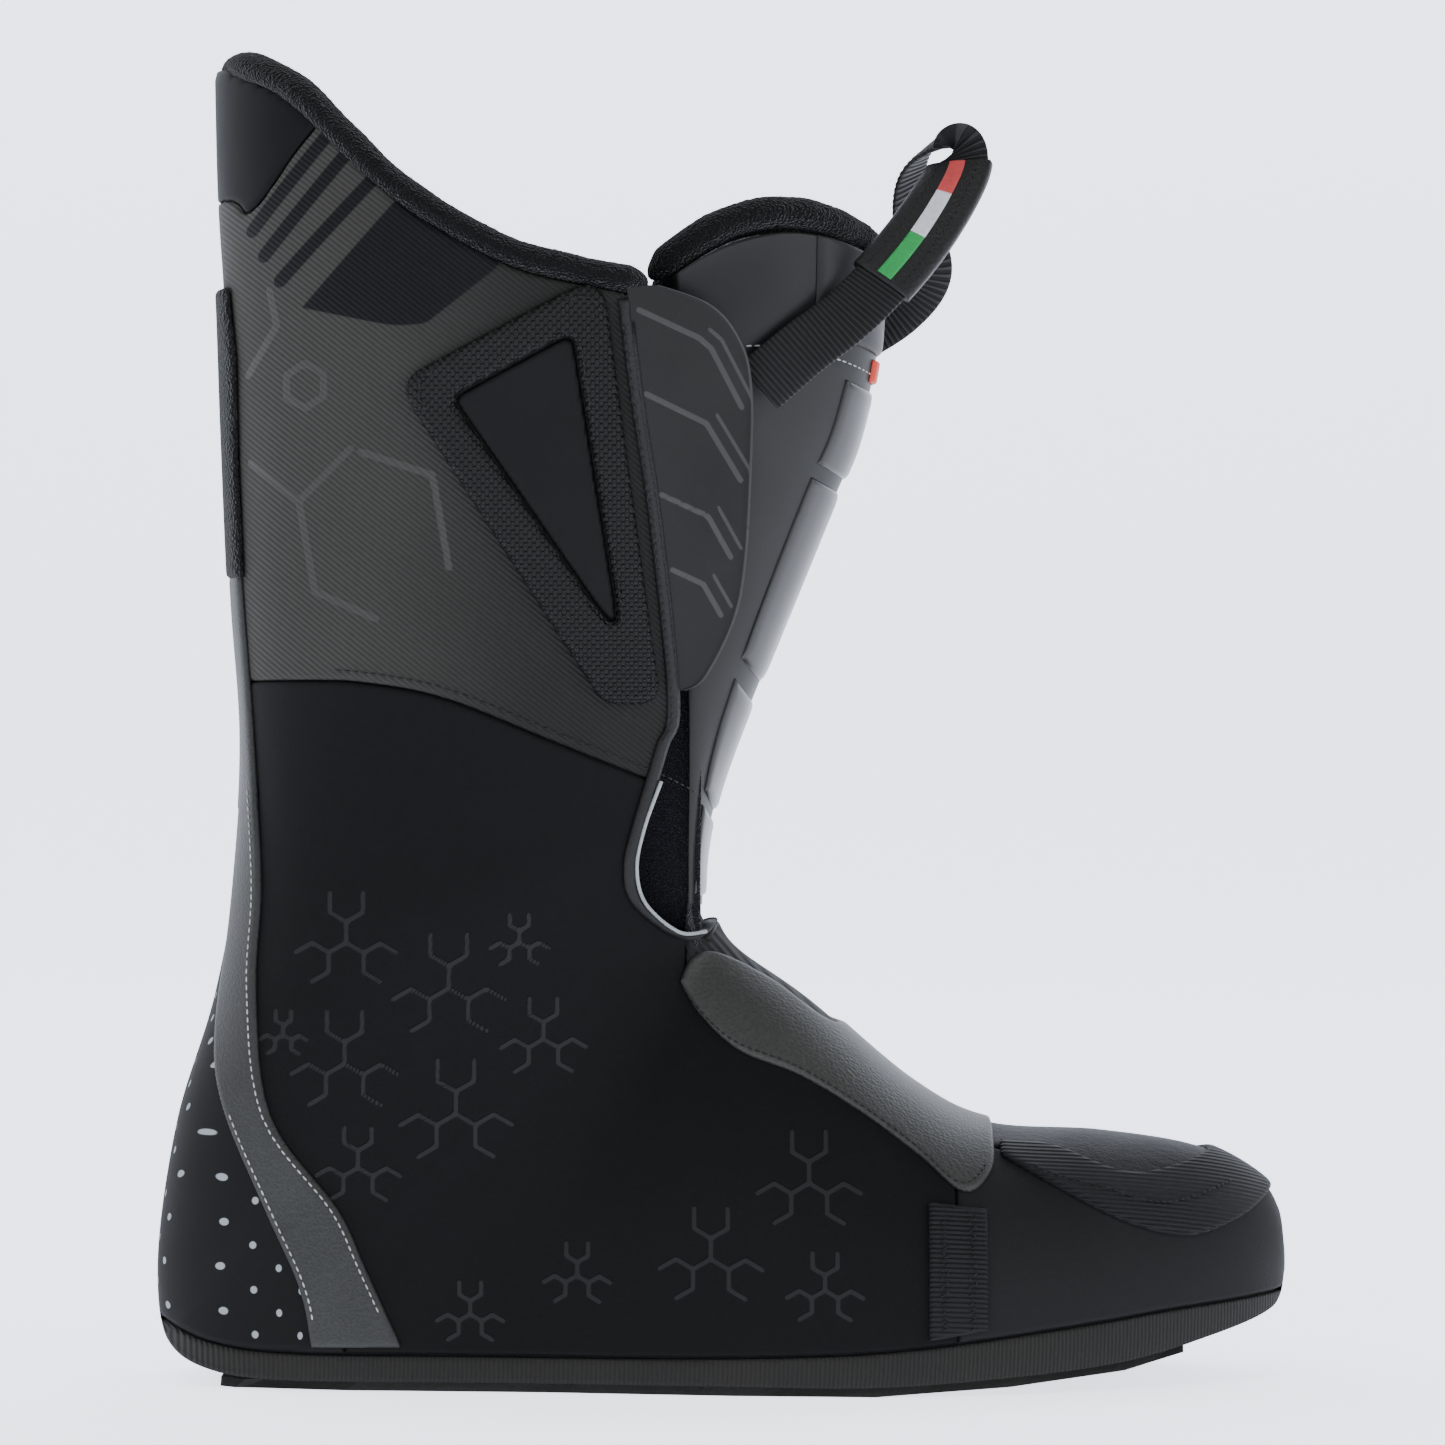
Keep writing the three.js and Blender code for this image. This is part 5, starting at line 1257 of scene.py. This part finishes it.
# ---------------------------------------------------------------- tongue
@dataclass
class Tongue:
    """The hinged tongue: a curved sheet with raised pads, its padding, lining and plush top."""

    foot_half: float = 18
    top_half: float = 38
    crest: float = 34.8
    shell: float = 1.2
    padding: float = 6.5
    wall: float = 9.0
    collar: float = 9.5
    front: Array = field(default_factory=lambda: np.array([
        [-5.2, 121], [-4.6, 133], [-2.4, 145], [2, 159], [10.7, 181], [19.7, 203], [28.7, 225], [34.7, 240],
        [39.5, 262], [40.7, 284.5]]))
    edge: Array = field(default_factory=lambda: np.array([
        [-8.6, 121.5], [-8.6, 136], [-8.4, 158], [-8.8, 180], [-10, 203], [-11.2, 223], [-12, 240], [-12.2, 250],
        [-12.4, 262], [-12.5, 279]]))

    def half(self, w: Array) -> Array:
        """The tongue's half width at height share w: from foot_half to top_half, as w^1.1."""
        return self.foot_half + (self.top_half - self.foot_half) * w**1.1

    def point(self, w: Array, angle: Array, inset: Array | float, lift: float = 0.0) -> Array:
        """The tongue's surface: an arch from edge line to front line, c = cos(angle) of the way forward.

        The half width times sin(angle) goes across, and the top bulges up by crest * w^4 * (c - c^2).
        """
        front, edge = curve(self.front, w), curve(self.edge, w)
        half = self.half(w)
        c = np.cos(angle)
        x = edge[..., 0] + (front[..., 0] - edge[..., 0] - inset) * c
        z = edge[..., 1] + (front[..., 1] - edge[..., 1]) * c + self.crest * w**4 * (c - c * c) + lift
        return np.stack([x, (half - inset) * np.sin(angle), z], -1)

    def sheet(
        self, name: str, finish: Finish, w: tuple[float, float], reach: Callable[[Array], Array],
        inset: tuple[float, float], rise: Callable[[Array, Array], Array] | None = None,
        mark: Callable[[Array, Array], Array] | None = None, size: tuple[int, int] = (160, 90),
    ) -> bpy.types.Object:
        """A closed sheet of the tongue between two insets.

        Args:
            name: the piece's name.
            finish: its material.
            w: the height shares it spans.
            reach: the angle it goes round to at each height share.
            inset: of its outer and inner face.
            rise: extra height of the outer face, by row and column share.
            mark: the mark attribute, by height share and angle.
            size: rows and columns.
        Returns:
            The object.
        """
        rows, columns = size
        t, s = np.meshgrid(np.linspace(0, 1, rows), np.linspace(-1, 1, columns), indexing="ij")
        share = w[0] + (w[1] - w[0]) * t
        angle = s * reach(share)
        lift = rise(t, s) if rise else 0 * t
        outer, inner = self.point(share, angle, inset[0] - lift), self.point(share, angle, inset[1])
        return grid_shell(name, outer, inner, finish, {"mark": mark(share, angle)} if mark else None)

    def pad_rise(self, height: float) -> Callable[[Array, Array], Array]:
        """A cushion profile: full height inside, rounded down over the outer tenth of each way."""
        def rise(t: Array, s: Array) -> Array:
            """The height at row share t and column share s."""
            edge = np.minimum(np.clip(np.minimum(t, 1 - t) / 0.1, 0, 1), np.clip((1 - np.abs(s)) / 0.14, 0, 1))
            return height * np.sqrt(np.clip(1 - (1 - edge) ** 2, 0, 1))
        return rise

    def build(self) -> None:
        """Makes every piece of the tongue."""
        full = lambda w: np.full_like(w, np.pi / 2)
        def side_mark(w: Array, angle: Array) -> Array:
            """The dark smooth panels on the tongue's upper sides."""
            return np.maximum((0.85 - w) * 160, (0.58 - np.abs(angle)) * 30)
        skin = self.sheet("tongue_outer", SHELL, (0, 1), full, (0, self.shell), mark=side_mark)
        settle(skin, "tongue", "plastic", "tongue_shell")
        settle(self.sheet("tongue_foam", FOAM, (0, 1), full, (1.45, 8.0), size=(60, 40)), "tongue", "foam",
               "tongue_padding", fill=0.9)
        settle(self.sheet("tongue_back", LINING, (0, 1), full, (8.0, self.wall)), "tongue", "lining",
               "tongue_lining", fill=0.3)
        spans = [(0.03, 0.2), (0.225, 0.405), (0.43, 0.675), (0.7, 0.84)]
        for i, span in enumerate(spans):
            half = lambda w: np.arcsin(np.clip(17 / self.half(w), 0, 0.94))
            rise = self.pad_rise(0.95)
            pad = self.sheet(f"front_pad_{i + 1}", GLOSS, span, half, (-0.1, -0.05), rise, size=(60, 50))
            settle(pad, "tongue", "gloss", f"tongue_pad_{i + 1}")
        tag = lambda w: np.full_like(w, 0.19)
        settle(self.sheet("loop_tab", TAG, (0.85, 0.878), tag, (-0.2, -0.1), self.pad_rise(1.1), size=(14, 20)),
               "tongue", "tag_red", "loop_tag")
        cap = lambda w: np.full_like(w, 0.82)
        settle(self.sheet("top_cap", SHELL, (0.885, 1), cap, (-0.2, -0.1), self.pad_rise(1.2), size=(40, 70)),
               "tongue", "plastic", "tongue_cap")
        ridge = np.linspace(-np.pi / 2 + 0.1, np.pi / 2 - 0.1, 120)
        base = self.point(np.full(120, 0.86), ridge, -0.1)
        normal = unit(base - self.point(np.full(120, 0.86), ridge, 2.0))
        settle(beads("side_panel_seam", base, normal, 2.2, (0.8, 0.24, 0.2), THREAD), "tongue", "white")
        self.root()
        self.wings()
        self.plush()

    def wings(self) -> None:
        """The tongue's soft lower sides, tucked back inside the cuff.

        Each starts at the tongue's edge line and runs back by up to 26 mm, closing in by 4 mm, and thins to its rim.
        """
        t, s = np.meshgrid(np.linspace(0, 1, 70), np.linspace(0, 1, 30), indexing="ij")
        w = 0.5 * t
        edge = curve(self.edge, w)
        half = self.half(w)
        thick = 5.2 * np.sqrt(np.clip(1 - s**3, 0.02, 1)) * np.sqrt(np.clip(1 - (2 * t - 1) ** 8, 0.02, 1))
        reach = 26 - 10 * smoothstep(t, 0.6, 1)
        for word, sign in (("outer", OUTER), ("inner", INNER)):
            def face(inset: Array) -> Array:
                """One face, an inset in from the tongue's half width."""
                y = sign * (half - 2.2 - 4 * s - inset)
                z = edge[..., 1] - 9 * (1 - t) - 3 * s * (1 - t)
                return np.stack([edge[..., 0] + 3 - reach * s, y, z], -1)
            middle = 2.6 + 0 * t
            wing = grid_shell(f"tongue_wing_{word}", face(middle - thick / 2), face(middle + thick / 2), LINING)
            settle(wing, "tongue", "lining", fill=0.7)

    def root(self) -> None:
        """The soft foot of the tongue, sewn to the boot: the tongue's lowest arch carried down and forward.

        From its top at height 126 to its foot at 106 the arch moves forward by 8 mm.
        """
        t, s = np.meshgrid(np.linspace(0, 1, 40), np.linspace(-1, 1, 60), indexing="ij")
        def arch(inset: float) -> Array:
            """One face of it."""
            made = self.point(0.03 * t, s * np.pi / 2, inset)
            made[..., 2] = 106 + 20 * t
            made[..., 0] += 8 * (1 - smoothstep(t, 0, 0.75)) * np.cos(s * np.pi / 2) - 1.6 * (1 - t)
            return made
        piece = grid_shell("tongue_root", arch(0.4), arch(8.6), LINING)
        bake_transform(piece)
        log.info("%s: %d faces", piece.name, len(piece.data.polygons))

    def plush(self) -> None:
        """The plush roll over the tongue's top edge, an oval carried along it with fine unevenness."""
        turn = np.linspace(-1, 1, 260) * (np.pi / 2 + 0.12)
        line = self.point(np.ones(260), turn, self.wall / 2, 5.25)
        along = unit(np.gradient(line, axis=0))
        across = unit(np.cross(along, [0, 0, 1.0]))
        out = np.cross(across, along)
        ring = np.linspace(0, 2 * np.pi, 41)[:-1]
        seed = np.random.default_rng(11)
        rough = 1 + 0.02 * np.sin(np.arange(260) * 0.31)[:, None] + seed.normal(0, 0.016, (260, 40))
        ends = np.minimum(1, np.sqrt(np.minimum(np.arange(260), np.arange(260)[::-1]) / 7 + 0.02))[:, None]
        oval = np.stack([np.cos(ring) * self.collar / 2, np.sin(ring) * 4.1], -1)
        piece = tube("tongue_plush", line, across, out, oval[None] * (rough * ends)[..., None], PLUSH)
        settle(piece, "tongue", "plush", "tongue_collar", fill=0.8)


@dataclass
class Flaps:
    """The two springy flaps in front of the cuff, each sewn at its root."""

    thick: float = 1.3
    clearance: float = 4.6
    start: float = -0.4
    tongue: Tongue = field(default_factory=Tongue)

    def build(self) -> None:
        """Makes both flaps: a sheet from the cuff's edge to a wavy front line, with pressed chevrons."""
        tips = smooth([[-9, 175.5], [-4, 179], [3, 193], [6, 208], [7.5, 235], [7.5, 251], [5, 262], [-3, 271.5],
                       [-20, 277]], 22)
        tips = tips[(tips[:, 0] > -16)]
        edge = FRONT_EDGE[FRONT_EDGE[:, 1].argsort()]
        x = np.interp(tips[:, 1], edge[:, 1], edge[:, 0]) + self.start
        w = np.clip((tips[:, 1] - 121) / 161, 0, 1)
        half = self.tongue.half(w)
        end = half + self.clearance + self.thick
        columns = 70
        t = np.linspace(0, 1, columns)[None]
        reach = np.maximum(tips[:, 0] - x, 1)[:, None]
        for word, side, sign in (("outer", "right", OUTER), ("inner", "left", INNER)):
            u, s = FORM.locate(np.stack([x - self.start, tips[:, 1]], 1), sign)
            root = np.abs(FORM.point(u, s)[:, 1])
            drop = np.maximum(0, root - end) * np.minimum(1, reach[:, 0] / 28)
            px = x[:, None] + reach * t
            py = root[:, None] - drop[:, None] * t
            pz = tips[:, 1:] + 0 * t
            bead = 0.35 * np.exp(-(((1 - t) * reach / 1.2) ** 2))
            lines = [[[-20.7, 269.6], [-5.8, 263.1], [-2.8, 260.6], [4.8, 246.2]],
                     [[-19, 249], [-4, 242], [4.6, 227.9]], [[-15.3, 224.2], [-3.6, 219], [2.1, 208.8]],
                     [[-12.5, 205.6], [-4.8, 202.1], [-0.4, 194.4]]]
            shapes = [np.array(line) for line in lines] + [np.array(line)[1:] + [2.6, 2.2] for line in lines]
            flat = np.stack([px.ravel(), pz.ravel()], 1)
            mark = np.minimum(stroke(shapes[:4], 0.75)(flat), stroke(shapes[4:], 0.5)(flat))
            # Painted highlight: the 0.7 mm strip over the rounded bead at the front edge gets the lighter marked
            # colour.
            mark = np.minimum(mark, ((1 - t) * reach - 0.7).ravel())
            outer = np.stack([px, sign * (py + bead), pz], -1)
            inner = np.stack([px, sign * (py - self.thick), pz], -1)
            piece = grid_shell(f"flap_{word}", outer, inner, FLAP, {"mark": mark})
            settle(piece, f"flap_{side}", "plastic", f"front_flap_{side}")


@dataclass
class PullLoop:
    """The webbing loop with its sewn grip and three coloured stripes."""

    width: float = 15
    webbing: float = 1.6
    grip: float = 0.9
    gap: float = 0.3
    places: Array = field(default_factory=lambda: np.array([
        [9, -36.8, 251.5], [20, -34.6, 261], [31, -31.5, 269.5], [40, -27, 278.5], [49, -20, 289.5], [56.5, -13, 301],
        [60.5, -7, 309.5], [59.5, -1.5, 315], [54, 2, 315.5], [49, 5.5, 309.5], [48, 10, 301], [51, 16, 292],
        [52, 22.5, 283.5], [46, 28.5, 276], [35, 32, 269], [21, 34.8, 261], [9, 36.8, 251.5]]))
    turns: Array = field(default_factory=lambda: np.array([
        [-0.66, 0.1, 0.75], [-0.66, 0.2, 0.72], [-0.66, 0.3, 0.7], [-0.72, 0.3, 0.64], [-0.8, 0.3, 0.52],
        [-0.82, 0.4, 0.4], [-0.7, 0.6, 0.35], [-0.35, 0.85, 0.35], [0.05, 0.95, 0.2], [0.35, 0.9, 0.05],
        [0.5, 0.85, -0.05], [0.62, 0.7, -0.2], [0.66, 0.4, -0.5], [0.62, 0.2, -0.7], [0.6, -0.1, -0.75],
        [0.66, -0.15, -0.72], [0.66, -0.1, -0.75]]))

    def stations(self, share: Array) -> tuple[Array, Array, Array]:
        """Points on the loop, and its directions across and out there, at shares of its length."""
        line = curve(self.places, share, True)
        along = unit(curve(self.places, share + 0.004, True) - curve(self.places, share - 0.004, True))
        across = curve(self.turns, share, True)
        across = unit(across - along * (across * along).sum(1, keepdims=True))
        return line, across, np.cross(along, across)

    def strap(
        self, name: str, share: Array, half: float, low: float, high: float, finish: Finish, ribs: float = 0.0
    ) -> bpy.types.Object:
        """A flat band along the loop with rounded edges, and with crosswise ribs where asked."""
        line, across, out = self.stations(share)
        turn = np.linspace(0, 2 * np.pi, 37)[:-1]
        thick, middle = (high - low) / 2, (high + low) / 2
        flat = np.sign(np.cos(turn)) * np.abs(np.cos(turn)) ** 0.45 * half
        rise = np.sign(np.sin(turn)) * np.abs(np.sin(turn)) ** 0.55
        run = np.concatenate([[0], np.cumsum(np.linalg.norm(np.diff(line, axis=0), axis=1))])
        wave = 0.5 + 0.5 * np.cos(run * 2 * np.pi / 1.35)
        height = middle + rise[None] * (thick + ribs * (wave[:, None] - 0.5))
        section = np.stack([flat[None] + 0 * height, height], -1)
        # Painted highlight: the mark is below 0 on the rib crests, so a finish with a marked colour paints the crests
        # lighter.
        return tube(name, line, across, out, section, finish, mark=0.5 - wave[:, None] + 0 * height)

    def build(self) -> None:
        """Makes the webbing, the grip, its stitches and the stripes."""
        web = self.strap("loop_webbing", np.linspace(0, 1, 900), self.width / 2, -0.8, 0.8, WEBBING, 0.34)
        settle(web, "pull_loop", "webbing", "pull_webbing")
        from_, to = 6 / 32, 12 / 32
        out = self.webbing / 2 + self.gap + self.grip
        grip = self.strap("loop_grip", np.linspace(from_, to, 160), self.width / 2 + 1.2, -out, out, GRIP)
        settle(grip, "pull_loop", "leather", "grip_sleeve")
        names = (("green", GREEN), ("white", PALE), ("red", RED))
        for i, (word, finish) in enumerate(names):
            ends = from_ + (to - from_) * np.array([0.02 + i * 0.323, 0.02 + (i + 1) * 0.323])
            band = self.strap(f"band_{word}", np.linspace(*ends, 50), 2.1, out - 0.3, out + 0.35, finish)
            settle(band, "pull_loop", f"stripe_{word}", f"stripe_{word}")
        line, across, up = self.stations(np.linspace(from_ + 0.004, to - 0.004, 200))
        for word, side in (("upper", 1), ("lower", -1)):
            seam = line + across * (side * 5.2) + up * (out - 0.1)
            sewn = beads(f"grip_seam_{word}", seam, up, 2.3, (0.85, 0.26, 0.25), DARK_THREAD)
            settle(sewn, "pull_loop", "webbing")


# ---------------------------------------------------------------- studio
@dataclass
class Studio:
    """A pale floor that sweeps up into a wall, soft lights and the camera."""

    pale: Colour = (0.80, 0.84, 0.92)
    far: float = 6.0

    def camera(self) -> None:
        """Looks level at the boot's outer side from far enough that its sides stay square."""
        lens = bpy.data.cameras.new("camera")
        lens.lens, lens.sensor_width = 150, 36
        made = bpy.data.objects.new("camera", lens)
        bpy.context.scene.collection.objects.link(made)
        wide = 0.3584
        made.location = (0, -wide * lens.lens / lens.sensor_width - 0.05, 0.1675)
        made.rotation_euler = (math.pi / 2, 0, 0)
        bpy.context.scene.camera = made

    def lights(self) -> None:
        """A large soft light above the front, one each side, and a pale world."""
        for name, place, turn, power, size in (
            ("key", (-0.5, -1.3, 1.5), (0.75, 0, -0.3), 14, 1.4),
            ("side", (1.4, -0.8, 0.8), (1.2, 0, 1.0), 12, 1.0),
            ("rim", (-1.4, 0.3, 0.9), (1.1, 0, -1.7), 8, 1.0),
        ):
            lamp = bpy.data.lights.new(name, "AREA")
            lamp.energy, lamp.size = power, size
            made = bpy.data.objects.new(name, lamp)
            made.location, made.rotation_euler = place, turn
            bpy.context.scene.collection.objects.link(made)
        world = bpy.data.worlds.new("pale")
        world.use_nodes = True
        world.node_tree.nodes["Background"].inputs["Color"].default_value = (0.86, 0.88, 0.92, 1)
        world.node_tree.nodes["Background"].inputs["Strength"].default_value = 0.35
        bpy.context.scene.world = world

    def floor(self) -> None:
        """One sheet: level near the boot, then a quarter circle up into a wall behind it."""
        turn = np.linspace(0, np.pi / 2, 24)
        radius = 700.0
        run = np.concatenate([[-4000], 1500 + radius * np.sin(turn), [1500 + radius]])
        rise = np.concatenate([[0], radius - radius * np.cos(turn), [4000]])
        x = np.array([-5000.0, 5000.0])
        points = np.stack(np.broadcast_arrays(x[None], run[:, None], rise[:, None]), -1).reshape(-1, 3)
        backdrop = Finish("backdrop", self.pale, Surface.PLAIN, 0.95)
        mesh_piece("floor", points - [0, 0, 0.05], grid_faces(len(run), 2), backdrop)

    def build(self) -> None:
        """Camera first, then the rest."""
        self.camera()
        self.lights()
        self.floor()


def dress_hidden(nodes: dict[str, bpy.types.Object]) -> None:
    """Gives the part's own nodes that stay their finishes."""
    finishes = {"outsole_pad": RUBBER}
    for name, finish in finishes.items():
        nodes[name].data.materials.clear()
        nodes[name].data.materials.append(finish.make())


def main() -> None:
    """Builds the studio, then each sub-assembly, and notes the sizes."""
    logging.basicConfig(level=logging.INFO, format="%(message)s")
    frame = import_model()
    Studio().build()
    dress_hidden(frame["nodes"])
    Shoe().build()
    Tongue().build()
    Flaps().build()
    PullLoop().build()


if __name__ == "__main__":
    main()
